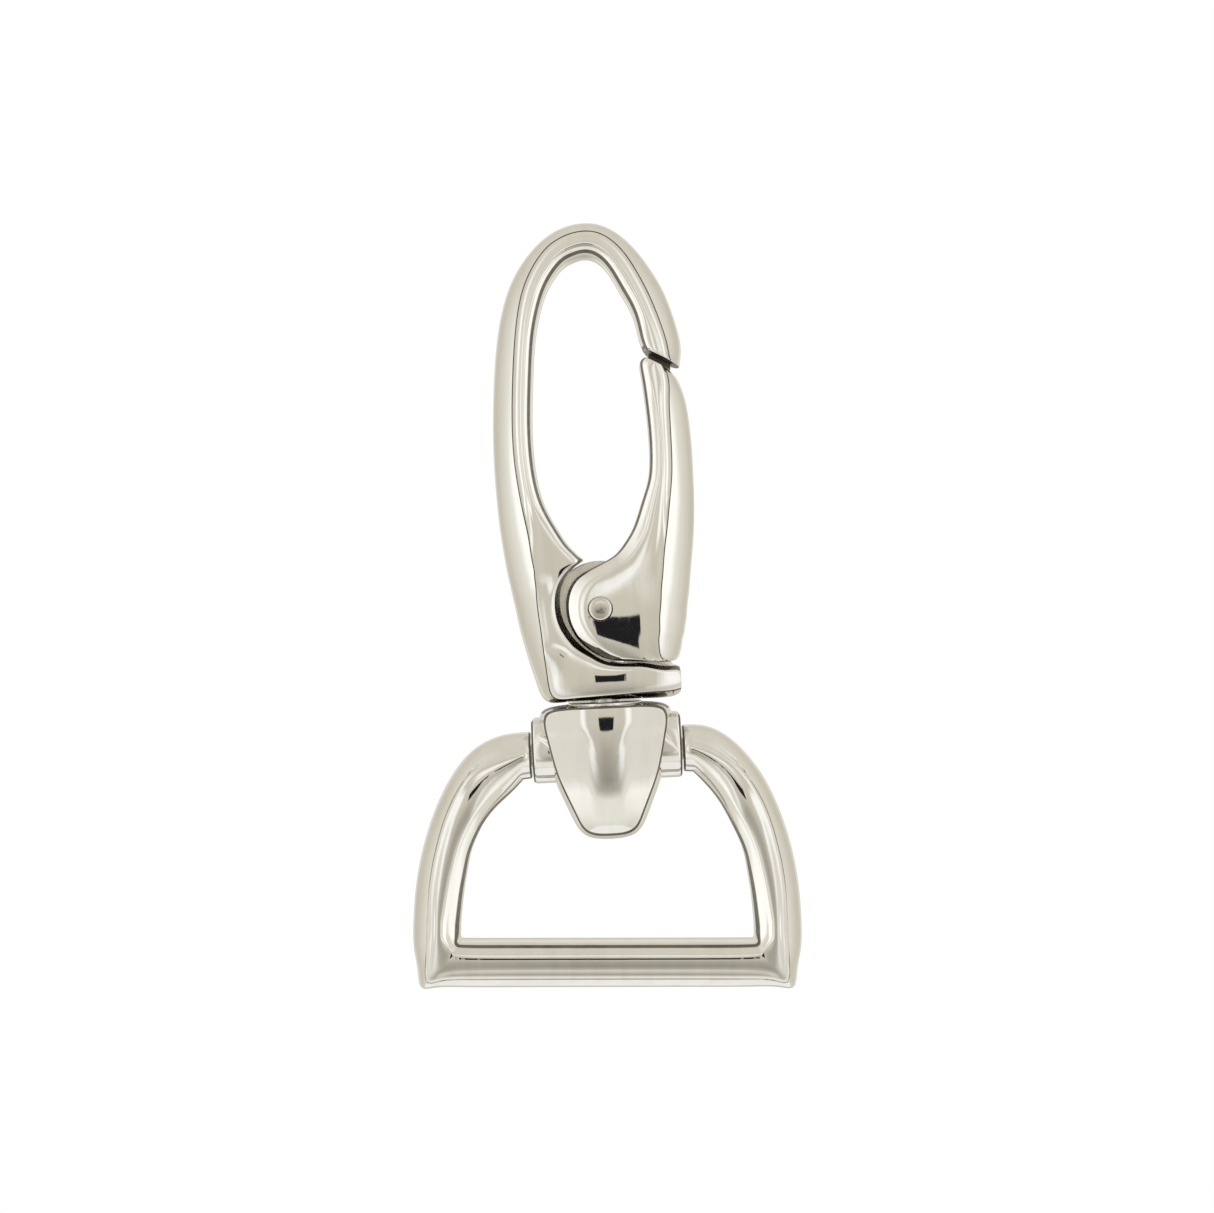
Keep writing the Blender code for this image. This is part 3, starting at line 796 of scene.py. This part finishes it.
@dataclass
class HookBody(CastBar):
    """The cast hook: eye, nose, beak, pocket and base, with the thin tongue that carries the gate's pin."""

    swell: float = 0.8
    swell_start: float = 16.0
    crest: float = 6.4
    under_r: float = 20.0
    bow: float = 0.013
    bow_middle: float = 0.6
    bow_start: float = 10.0
    eye: Span = (14.6, 15.8)
    base: Span = (7.0, 4.8)
    reach: float = 0.5
    reach_zone: Span = (6.0, 1.0)
    tongue_r: float = 4.2
    tongue_half: float = 0.66
    tongue_edge: float = 0.08
    tongue_inset: float = 0.02
    chamber_r: float = 1.95
    chamber: Span = (5.7, 7.9)
    post_bore_r: float = 1.28
    ledge: tuple[Point, ...] = ((5.3, 35.3), (7.1, 34.3), (7.15, 33.38), (5.25, 34.36))
    ledge_depths: Triple = (0.2, 0.8, 1.4)

    def swelling(self, across: float, height: float) -> float:
        """How much thicker than its arms the hook is at a point: it swells towards its base.

        Args:
            across: distance from the middle.
            height: height above the trunnion.

        Returns:
            A factor.
        """
        grown = self.swell * smooth_step(self.swell_start, self.crest, height)
        under = max(0.0, self.crest - height) ** 2 / (2 * self.under_r)
        bow = self.bow * (across - self.bow_middle) ** 2 * smooth_step(self.bow_start, self.crest, height)
        return 1 + (grown - under - bow) / self.half

    def section(self, outer: np.ndarray, inner: np.ndarray) -> tuple[BarSection, float]:
        """The section between two points, and how much further in it reaches.

        Args:
            outer: the outer point.
            inner: the inner point.

        Returns:
            The section and the added width.
        """
        high, eye, base = (smooth_step(*zone, outer[1]) for zone in (self.arm, self.eye, self.base))
        section = BarSection(
            ridge=0.955 - 0.15 * high,
            inner=0.30 - 0.05 * eye - 0.15 * base,
            strip=0.45 - 0.25 * eye - 0.15 * base,
            bulge=0.02 + 0.13 * eye,
            crown=(0.02 + 0.02 * high) * (1 - base),
        )
        return section, self.reach * (1 - eye) * smooth_step(*self.reach_zone, outer[0])

    def build(self) -> bpy.types.Object:
        """Models the hook.

        Returns:
            The finished piece.
        """
        rings = round_end(self.rings(HOOK_STATIONS, 5), 0.25)
        hook = self.solid("hook_body_fine", round_end(rings[::-1], 0.12))
        # Painted shade on the nose's slanted face, in the gap where the gate's tip closes on it
        Bench.paint_shade(hook, NOSE_FACE, NOSE_HEIGHTS)
        Bench.combine(hook, self.tongue(), Join.ADD)
        Bench.combine(hook, self.stop(), Join.ADD)
        low, high = self.chamber
        Bench.drill(hook, self.chamber_r, high - low, place(0, (low + high) / 2), Axis.UP)
        Bench.drill(hook, self.post_bore_r, 4.0, place(0, HOOK_FOOT), Axis.UP)
        Bench.drill(hook, self.bore_r, 4.0, place(*PIVOT), Axis.DEEP)
        return Bench.polish(hook, NICKEL, "hook")

    def stop(self) -> bpy.types.Object:
        """The step behind the nose's slanted face, that the gate closes against; all of it painted shade.
        """
        rings = [[place(a, h, depth) for a, h in self.ledge] for depth in self.ledge_depths]
        return Bench.coat(Bench.extrude_through("stop", rings), Coat.PAINTED_SHADE)

    def tongue(self) -> bpy.types.Object:
        """The thin web over the gate's pivot.

        Returns:
            The web as a solid.
        """
        outline = [*arc(PIVOT, self.tongue_r, -20, 128, 60), *TONGUE_FOOT]
        face, edge = self.tongue_half, self.tongue_half - self.tongue_edge
        drawn_in = 1 - self.tongue_inset
        rings = []
        for depth, share in ((-face, drawn_in), (-edge, 1.0), (edge, 1.0), (face, drawn_in)):
            rings.append([
                place(PIVOT[0] + (across - PIVOT[0]) * share, PIVOT[1] + (height - PIVOT[1]) * share, depth)
                for across, height in outline
            ])
        return Bench.coat(Bench.extrude_through("tongue", rings), Coat.SATIN)


@dataclass
class Gate(CastBar):
    """The gate with its round lobe, slotted for the tongue."""

    reach: float = 0.2
    reach_zone: Span = (2.5, 0.5)
    taper: float = 0.16
    shoulder: Span = (11.6, 18.5)
    eye: Span = (13.0, 15.5)
    tip: Span = (29.0, 31.5)
    toe: float = 10.2
    under: float = 0.012
    slot_r: float = 4.5
    slot_half: float = 0.9
    seat_r: float = 1.1
    seat_deep: float = 0.48
    recess_r: float = 2.25
    recess_deep: float = 2.2

    def swelling(self, _across: float, height: float) -> float:
        """How much thinner than its lobe the gate is at a point, as a factor."""
        under = self.under * max(0.0, self.toe - height) ** 2
        return 1 - (self.taper * smooth_step(*self.shoulder, height) + under) / self.half

    def section(self, outer: np.ndarray, inner: np.ndarray) -> tuple[BarSection, float]:
        """The section between two points, and how much further in it reaches.

        Args:
            outer: the outer point.
            inner: the inner point.

        Returns:
            The section and the added width.
        """
        high, eye, tip = (smooth_step(*zone, outer[1]) for zone in (self.arm, self.eye, self.tip))
        section = BarSection(
            ridge=0.93 - 0.125 * high,
            inner=0.85 - 0.3 * high,
            slope=0.34,
            strip=0.2 - 0.03 * eye,
            bulge=0.02 + 0.03 * eye,
            crown=0.075 - 0.045 * high,
            crease=0.012 * (1 - tip),
        )
        return section, self.reach * (1 - eye) * smooth_step(*self.reach_zone, inner[0])

    def build(self) -> bpy.types.Object:
        """Models the gate.

        Returns:
            The finished piece.
        """
        rings = round_end(self.rings(GATE_STATIONS, 6), 0.15)
        leaf = self.solid("gate_fine", round_end(rings[::-1], 0.15))
        # Painted shade on the tip's slanted face, in the gap against the nose
        Bench.paint_shade(leaf, -NOSE_FACE, TIP_HEIGHTS)
        low, high = place(*SLOT_FOOT_LOW, -self.slot_half), place(*SLOT_FOOT_HIGH, self.slot_half)
        seat = -self.half + self.seat_deep / 2 - 0.5
        Bench.drill(leaf, self.slot_r, 2 * self.slot_half, place(*PIVOT), Axis.DEEP)
        Bench.combine(leaf, Bench.box(low, high), Join.CUT)
        Bench.drill(leaf, self.recess_r, self.recess_deep, place(*PIVOT, self.recess_deep / 2), Axis.DEEP)
        Bench.drill(leaf, self.bore_r, 8.0, place(*PIVOT), Axis.DEEP)
        Bench.drill(leaf, self.seat_r, self.seat_deep + 1.0, place(*PIVOT, seat), Axis.DEEP)
        return Bench.polish(leaf, NICKEL, "gate")


# ---------------------------------------------------------------- D-ring


@dataclass
class DRing:
    """The D-ring: two round ends on the trunnion, curved arms and a straight bar."""

    half: float = 2.4
    collar_r: float = 2.05
    bore_r: float = 1.03
    bore_end: float = 9.2
    ring_end: float = 6.65
    lean: float = 2.6
    lean_zone: Span = (8.0, 13.0)
    foot: Span = (-15.5, -19.5)
    blend: float = 24.0

    def rings(self, side: int) -> list[Ring]:
        """The sections from one end to the middle of the bar.

        Args:
            side: +1 for the gate side, -1 for the other.

        Returns:
            The sections.
        """
        rows = smooth_path([(*outer, *inner) for outer, inner in RING_STATIONS], 6)
        rings = []
        for inwards, share in ((0.0, 0.93), (0.06, 0.97), (0.16, 1.0)):
            across, radius = side * (self.ring_end + inwards), self.collar_r * share
            half = round_half(2 * radius, radius, SECTION_POINTS)
            rings.append(section_ring((across, radius), (across, -radius), half))
        for index, row in enumerate(rows):
            width = math.dist(row[:2], row[2:4])
            share = smooth_step(0.0, self.blend, index)
            thick = self.collar_r + (self.half - self.collar_r) * share
            foot = smooth_step(*self.foot, row[1])
            section = BarSection(
                ridge=0.88,
                inner=0.95 - 0.6 * foot,
                strip=0.28 - 0.1 * foot,
                bulge=0.06 + 0.2 * foot,
                crown=0.085,
                crease=0.02,
            )
            bar = section.half(width, thick, 1.35 - 0.35 * foot)
            circle = round_half(width, thick, len(bar))
            half = [
                (s * share + r * (1 - share), d * share + e * (1 - share))
                for (s, d), (r, e) in zip(bar, circle)
            ]
            rings.append(section_ring((side * row[0], row[1]), (side * row[2], row[3]), half))
        return [[self.lean_over(point) for point in ring] for ring in rings]

    def lean_over(self, point: Vector) -> Vector:
        """Leans the arms and the bar a little about the trunnion, as the ring hangs in its play.

        Args:
            point: a point of the upright ring.

        Returns:
            The point on the hanging ring.
        """
        centre = place(0, 0)
        away = point - centre
        share = smooth_step(*self.lean_zone, away.length / MM)
        return centre + Matrix.Rotation(math.radians(self.lean) * share, 3, "Y") @ away

    def build(self) -> bpy.types.Object:
        """Models the D-ring.

        Returns:
            The finished piece.
        """
        rings = self.rings(-1) + self.rings(1)[::-1]
        # Painted shade on the steep strips and on the round ends beside the block's bosses
        spans = painted_shade_spans(len(rings[0]), STRIP_POINTS)
        ends = (0, 1, len(rings) - 3, len(rings) - 2)
        ring = Bench.extrude_through("d_ring_fine", rings, spans, ends)
        length = self.bore_end - self.ring_end + 1.0
        for side in (-1, 1):
            middle = place(side * (self.bore_end - length / 2), 0)
            Bench.drill(ring, self.bore_r, length, middle, Axis.ACROSS)
        return Bench.polish(ring, NICKEL, "ring")


# ---------------------------------------------------------------- swivel block


@dataclass
class SwivelBlock:
    """The shield-shaped block with a boss on each side."""

    middle: float = 3.55
    ridge_r: float = 13.0
    flank: float = 0.235
    recess_r: float = 3.4
    recess_floor: float = 4.0
    crest: float = 1.8
    boss_r: float = 2.5
    boss_end: float = 6.5
    bore_r: float = 1.25
    cross_r: float = 1.0
    shade: float = 1.9
    rim: float = 0.965
    brow: float = 0.957
    navel: float = -0.8
    lip: float = 0.1
    head_r: float = 46.0
    toe_r: float = 60.0
    toe_start: float = 1.5
    toe_curl: float = 0.0021
    head: Span = (1.2, 2.6)
    dome: tuple[float, ...] = (
        1.0, 0.985, 0.96, 0.92, 0.86, 0.78, 0.68, 0.57, 0.46, 0.35, 0.25, 0.16, 0.08, 0.02,
    )

    @staticmethod
    def outline(table: Outline) -> Outline:
        """The closed outline from its right half, which runs from the top down to the toe."""
        half = smooth_path(table, 6)
        return [*map(tuple, half), *((-across, height) for across, height in half[-2:0:-1])]

    def depth(self, across: float, height: float) -> float:
        """Depth of the domed front at a point.

        Args:
            across: distance from the middle.
            height: height above the trunnion.

        Returns:
            The depth.
        """
        low = self.crest - height
        fall = low**2 / (2 * (self.head_r if low < 0 else self.toe_r))
        fall += self.toe_curl * max(0.0, low - self.toe_start) ** 3
        broad = smooth_step(*self.head, height)
        flat_r = self.ridge_r + 5.0 * broad
        bend, turn = 1.15 + 0.3 * broad, 2.6 + 4.0 * broad
        flank = abs(across)
        side = min(flank, bend) ** 2 / (2 * flat_r)
        past = max(0.0, flank - bend)
        slope = bend / flat_r
        curved = min(past, turn * (self.flank - slope))
        side += past * slope + curved**2 / (2 * turn) + (past - curved) * curved / turn
        return self.middle - fall - side

    def build(self) -> bpy.types.Object:
        """Models the block.

        Returns:
            The finished piece.
        """
        front, waist = self.outline(SHIELD_FRONT), self.outline(SHIELD_WAIST)
        dome = []
        for share in self.dome:
            ring = []
            for across, height in front:
                across, height = across * share, self.navel + (height - self.navel) * share
                ring.append((across, height, self.depth(across, height)))
            dome.append(ring)
        edge = [[(a, h, d - self.lip) for a, h, d in dome[0]]]
        for index, share, drop in ((0, self.rim, 0.02), (1, self.brow, 0.0)):
            dome[index] = [
                (a * share, self.navel + (h - self.navel) * share, d - drop) for a, h, d in dome[index]
            ]
        wall = []
        for share in (0.0, 0.25, 0.5, 0.75):
            ring = []
            for (a, h, d), (wide, low) in zip(edge[0], waist):
                out = 1 - share**2
                ring.append((a + (wide - a) * out, h + (low - h) * out, d * share))
            wall.append(ring)
        front_half = wall + edge + dome
        rings = [[place(a, h, d) for a, h, d in ring] for ring in front_half[:0:-1]]
        rings += [[place(a, h, -d) for a, h, d in ring] for ring in front_half]
        # Painted shade on the band round the domed front's rim, and on the top under the washer
        rims = (len(dome) - 1, len(rings) - len(dome) - 1)
        block = Bench.extrude_through("swivel_block_fine", rings, dull_and_shade=rims)
        Bench.paint_shade(block, Vector(Axis.UP.value), BLOCK_TOP_HEIGHTS, self.shade)
        Bench.combine(block, self.bosses(), Join.ADD)
        Bench.drill(block, self.recess_r, 2.0, place(0, self.recess_floor + 1.0), Axis.UP)
        Bench.drill(block, self.bore_r, 8.0, place(0, 1.6), Axis.UP)
        Bench.drill(block, self.cross_r, 16.0, place(0, 0), Axis.ACROSS)
        return Bench.polish(block, NICKEL, "block")

    def bosses(self) -> bpy.types.Object:
        """The bar across the block that ends in a boss on each side.

        Returns:
            The bar.
        """
        corner = self.boss_r - 0.5
        side = [*arc((0, 0), self.boss_r, 0, -180, 60), (-self.boss_r, 1.9)]
        side += [(-corner - 0.15, 2.9), (-corner + 0.3, 3.2), (corner - 0.3, 3.2), (corner + 0.15, 2.9)]
        side.append((self.boss_r, 1.9))
        rounding = ((0.0, 0.93), (0.06, 0.96), (0.16, 0.985), (0.32, 1.0))
        half = [(self.boss_end - back, share) for back, share in rounding]
        rings = []
        for across, share in [(-across, share) for across, share in half] + half[::-1]:
            rings.append([place(across, height * share, depth * share) for depth, height in side])
        # Painted shade on the bosses' round ends, beside the D-ring
        return Bench.extrude_through("bosses", rings, dull_and_shade=(0, 1, len(rings) - 3, len(rings) - 2))


# ---------------------------------------------------------------- turned and wound pieces


@dataclass
class TurnedPiece:
    """A pin, post or washer."""

    name: str
    body: str
    profile: Outline
    foot: Point
    axis: Axis
    finish: Finish

    def build(self) -> bpy.types.Object:
        """Models the piece and finishes it."""
        piece = Bench.spin(f"{self.name}_fine", self.profile, place(*self.foot), self.axis)
        return Bench.polish(piece, self.finish, self.body, 40.0)


@dataclass
class ReturnSpring:
    """The torsion spring in the gate's rear cheek."""

    wire_r: float = 0.2
    coil_r: float = 1.55
    turns: int = 2
    start: float = 1.2
    pitch: float = 0.42
    reach: float = 3.1
    free: float = 55.0

    def path(self) -> list[Vector]:
        """The middle of the wire.

        Returns:
            Its points.
        """
        first, last = math.radians(-90), math.radians(self.free)
        sweep = self.turns * math.tau + last - first
        end = self.start + self.turns * self.pitch
        points = [(self.coil_r, first, 0.15), (self.coil_r, first, 0.45), (self.coil_r, first, 0.75)]
        count = 48 * self.turns
        for i in range(count + 1):
            share = i / count
            depth = self.start + self.turns * self.pitch * share
            points.append((self.coil_r, first + sweep * share, depth))
        points += [(self.coil_r + 0.25, last + 0.1, end), (self.coil_r + 0.8, last + 0.06, end)]
        points.append((self.reach, last, end))
        return [
            place(PIVOT[0] + radius * math.cos(turn), PIVOT[1] + radius * math.sin(turn), depth)
            for radius, turn, depth in points
        ]

    def build(self) -> bpy.types.Object:
        """Models the spring.

        Returns:
            The finished piece.
        """
        points = self.path()
        aside = Vector((1, 0, 0))
        rings = []
        for i, point in enumerate(points):
            ahead = (points[min(i + 1, len(points) - 1)] - points[max(i - 1, 0)]).normalized()
            aside = (aside - ahead * aside.dot(ahead)).normalized()
            other = ahead.cross(aside)
            turns = np.linspace(0, math.tau, 16, endpoint=False)
            reach = self.wire_r * MM
            rings.append([point + (aside * math.cos(a) + other * math.sin(a)) * reach for a in turns])
        wire = Bench.extrude_through("gate_spring_fine", rings)
        return Bench.polish(wire, SPRING_STEEL, "hook", 50.0)


# ---------------------------------------------------------------- studio


class NodeSum:
    """Builds small sums out of math nodes."""

    def __init__(self, tree: bpy.types.NodeTree) -> None:
        """Keeps the tree that the nodes go in."""
        self.tree = tree

    def __call__(self, operation: str, *values: Source) -> Socket:
        """Adds one math node.

        Args:
            operation: its operation.
            values: numbers or sockets.

        Returns:
            Its result socket.
        """
        inputs = dict(enumerate(values))
        return add_node(self.tree, "ShaderNodeMath", "Value", inputs, operation=operation)

    def step(self, value: Socket, low: float, high: float) -> Socket:
        """Eased 0 to 1 between a low and a high value."""
        inputs = {"Value": value, "From Min": low, "From Max": high}
        return add_node(
            self.tree, "ShaderNodeMapRange", "Result", inputs, interpolation_type="SMOOTHSTEP"
        )

    def ramp(self, angle: Socket, stops: Stops) -> Socket:
        """Reads a table of brightness against angle; dimmer light is warmer.

        Args:
            angle: the angle's socket, in degrees.
            stops: (degrees, brightness) pairs.

        Returns:
            The colour's socket.
        """
        node = self.tree.nodes.new("ShaderNodeValToRGB")
        table = node.color_ramp
        for index, (degrees, light) in enumerate(stops):
            stop = table.elements[index] if index < 2 else table.elements.new(degrees / 180)
            stop.position = degrees / 180
            warm = min(1.0, max(0.0, (1.1 - light) / 0.4))
            red, green, blue = 1 + 0.04 * warm, 1 - 0.01 * warm, 0.99 - 0.12 * warm
            stop.color = (light * red, light * green, light * blue, 1.0)
        self.tree.links.new(self("DIVIDE", angle, 180.0), node.inputs["Fac"])
        return node.outputs["Color"]

    def mix(self, share: Socket, one: Source, two: Source) -> Socket:
        """Mixes two colours, by the second one's share."""
        inputs = {"Factor": share, "A": one, "B": two}
        return add_node(self.tree, "ShaderNodeMix", "Result", inputs, data_type="RGBA")


@dataclass
class Studio:
    """A white tent round the part, a dark patch where the lens looks in, the camera and a pale floor."""

    beside: Stops = (
        (0, 0.70), (13, 0.70), (17, 1.2), (20, 1.2), (24, 0.86), (32, 0.86), (36, 1.3), (47, 1.3),
        (57, 0.96), (72, 0.84), (88, 0.76), (105, 0.68), (132, 0.68), (143, 0.9), (150, 0.74),
        (158, 0.74), (165, 0.95), (171, 0.64), (180, 0.64),
    )
    above: Stops = (
        (0, 0.70), (4, 0.72), (5.5, 1.15), (8, 1.1), (9.5, 0.70), (14, 0.68), (25, 0.76), (40, 0.72),
        (60, 0.76), (90, 0.78), (135, 0.72), (150, 0.9), (160, 0.78), (172, 0.64), (180, 0.64),
    )
    below: Stops = (
        (0, 0.70), (4, 0.62), (8, 0.45), (18, 0.35), (24, 0.5), (30, 0.95), (45, 0.95),
        (60, 0.76), (90, 0.86), (135, 0.72), (150, 0.6), (160, 0.5), (172, 0.64), (180, 0.64),
    )
    patch: Span = (4.1, 4.7)
    patch_drop: float = 1.5
    patch_rise: Span = (1.4, 1.9)
    dark: tuple[float, ...] = (0.018, 0.017, 0.020, 1.0)
    lens: float = 55.6
    eye: Triple = (0.59, -165.0, -30.69)
    lean: float = -2.7
    floor_r: float = 120.0
    floor_drop: float = 190.0

    def build(self) -> None:
        """Sets up the world, the floor, the camera and the colour handling."""
        self.world()
        self.floor()
        self.camera()
        bpy.context.scene.view_settings.view_transform = "Standard"

    def world(self) -> None:
        """A tent that is seen only in reflections, with plain white behind it for the lens."""
        world = bpy.data.worlds.new("tent")
        bpy.context.scene.world = world
        world.use_nodes = True
        tree = world.node_tree
        tree.nodes.clear()
        sums = NodeSum(tree)
        split = tree.nodes.new("ShaderNodeSeparateXYZ")
        where = add_node(tree, "ShaderNodeTexCoord", "Generated", {})
        tree.links.new(where, split.inputs["Vector"])
        x, y, z = (split.outputs[name] for name in "XYZ")
        turn = sums("MULTIPLY", sums("ARCTAN2", x, sums("MULTIPLY", y, -1.0)), math.degrees(1))
        rise = sums("MULTIPLY", sums("ARCSINE", z), math.degrees(1))
        away = sums("MULTIPLY", sums("ARCCOSINE", sums("MULTIPLY", y, -1.0)), math.degrees(1))
        flat, steep = sums("MULTIPLY", x, x), sums("MULTIPLY", z, z)
        aside = sums("DIVIDE", flat, sums("ADD", flat, steep))
        upper = sums.ramp(away, self.above)
        lower = sums.ramp(away, self.below)
        colour = sums.mix(sums.step(z, -0.01, 0.01), lower, upper)
        colour = sums.mix(aside, colour, sums.ramp(away, self.beside))
        off_side = sums.step(sums("ABSOLUTE", turn), *self.patch)
        off_height = sums.step(sums("ABSOLUTE", sums("ADD", rise, self.patch_drop)), *self.patch_rise)
        inside = sums("MULTIPLY", sums("SUBTRACT", 1.0, off_side), sums("SUBTRACT", 1.0, off_height))
        colour = sums.mix(inside, colour, self.dark)
        tent = add_node(tree, "ShaderNodeBackground", "Background", {"Color": colour})
        plain = add_node(tree, "ShaderNodeBackground", "Background", {"Color": (1.0, 1.0, 1.0, 1.0)})
        seen = add_node(tree, "ShaderNodeLightPath", "Is Camera Ray", {})
        shown = add_node(tree, "ShaderNodeMixShader", "Shader", {"Fac": seen, 1: tent, 2: plain})
        output = tree.nodes.new("ShaderNodeOutputWorld")
        tree.links.new(shown, output.inputs["Surface"])

    def floor(self) -> None:
        """A pale disc far below the part."""
        Bench.rest()
        low = (0, 0, -self.floor_drop * MM)
        bpy.ops.mesh.primitive_circle_add(
            vertices=SPIN_STEPS, radius=self.floor_r * MM, fill_type="NGON", location=low
        )
        disc = bpy.context.object
        disc.name = "tent_floor"
        material = bpy.data.materials.new("tent_floor")
        material.use_nodes = True
        glow = material.node_tree.nodes["Principled BSDF"]
        glow.inputs["Base Color"].default_value = (0.0, 0.0, 0.0, 1.0)
        glow.inputs["Emission Color"].default_value = (1.0, 1.0, 1.0, 1.0)
        glow.inputs["Emission Strength"].default_value = 1.0
        disc.data.materials.append(material)

    def camera(self) -> None:
        """The camera in front of the part."""
        data = bpy.data.cameras.new("camera")
        data.sensor_width = 36.0
        data.lens = self.lens
        data.clip_start, data.clip_end = 0.001, 10.0
        camera = bpy.data.objects.new("camera", data)
        bpy.context.scene.collection.objects.link(camera)
        upright = Matrix.Rotation(math.radians(90), 4, "X")
        lean = Matrix.Rotation(math.radians(self.lean), 4, "Z")
        camera.matrix_world = Matrix.Translation(Vector(self.eye) * MM) @ upright @ lean
        bpy.context.scene.camera = camera


# ---------------------------------------------------------------- the part


def turned_pieces() -> list[TurnedPiece]:
    """The pins, the post and the washers.

    Returns:
        The pieces, not built yet.
    """
    pin = [(0.0, 2.45), (0.65, 2.45), (0.72, 2.42), (0.75, 2.35), (0.75, -2.1), (1.0, -2.1), (1.0, -2.38)]
    pin += [(0.98, -2.44), (0.93, -2.47), (0.8, -2.49), (0.5, -2.505), (0.0, -2.51)]
    post = [(0.0, 7.0), (1.55, 7.0), (1.72, 6.93), (1.8, 6.75), (1.8, 6.0), (1.2, 6.0)]
    post += [(1.2, -1.9), (1.1, -2.1), (0.9, -2.2), (0.0, -2.2)]
    thrust = [(1.25, 5.95), (1.7, 5.95), (1.75, 5.91), (1.75, 5.79), (1.7, 5.75), (1.25, 5.75)]
    washer = [(1.3, 4.43), (3.17, 4.43), (3.23, 4.4), (3.25, 4.33), (3.25, 4.17), (3.23, 4.1)]
    washer += [(3.17, 4.07), (1.3, 4.07)]
    half = [(0.0, 8.9), (0.8, 8.9), (0.9, 8.87), (0.95, 8.75), (0.95, 1.6), (0.8, 1.45)]
    trunnion = half + [(radius, -along) for radius, along in half[::-1]]
    return [
        TurnedPiece("gate_pin", "gate", pin, PIVOT, Axis.DEEP, NICKEL_PIN),
        TurnedPiece("swivel_post", "block", post, (0.0, 0.0), Axis.UP, PIN_STEEL),
        TurnedPiece("thrust_washer", "block", thrust, (0.0, 0.0), Axis.UP, PIN_STEEL),
        TurnedPiece("swivel_washer", "block", washer, (0.0, 0.0), Axis.UP, PIN_STEEL),
        TurnedPiece("trunnion_pin", "block", trunnion, (0.0, 0.0), Axis.ACROSS, PIN_STEEL),
    ]


def main() -> None:
    """Builds the studio and every piece, and logs each piece's face count."""
    logging.basicConfig(level=logging.INFO, format="%(name)s: %(message)s")
    Studio().build()
    makers = [HookBody(), Gate(), DRing(), SwivelBlock(), ReturnSpring(), *turned_pieces()]
    for maker in makers:
        piece = maker.build()
        LOG.info("%s: %d faces", piece.name, len(piece.data.polygons))


if __name__ == "__main__":
    main()
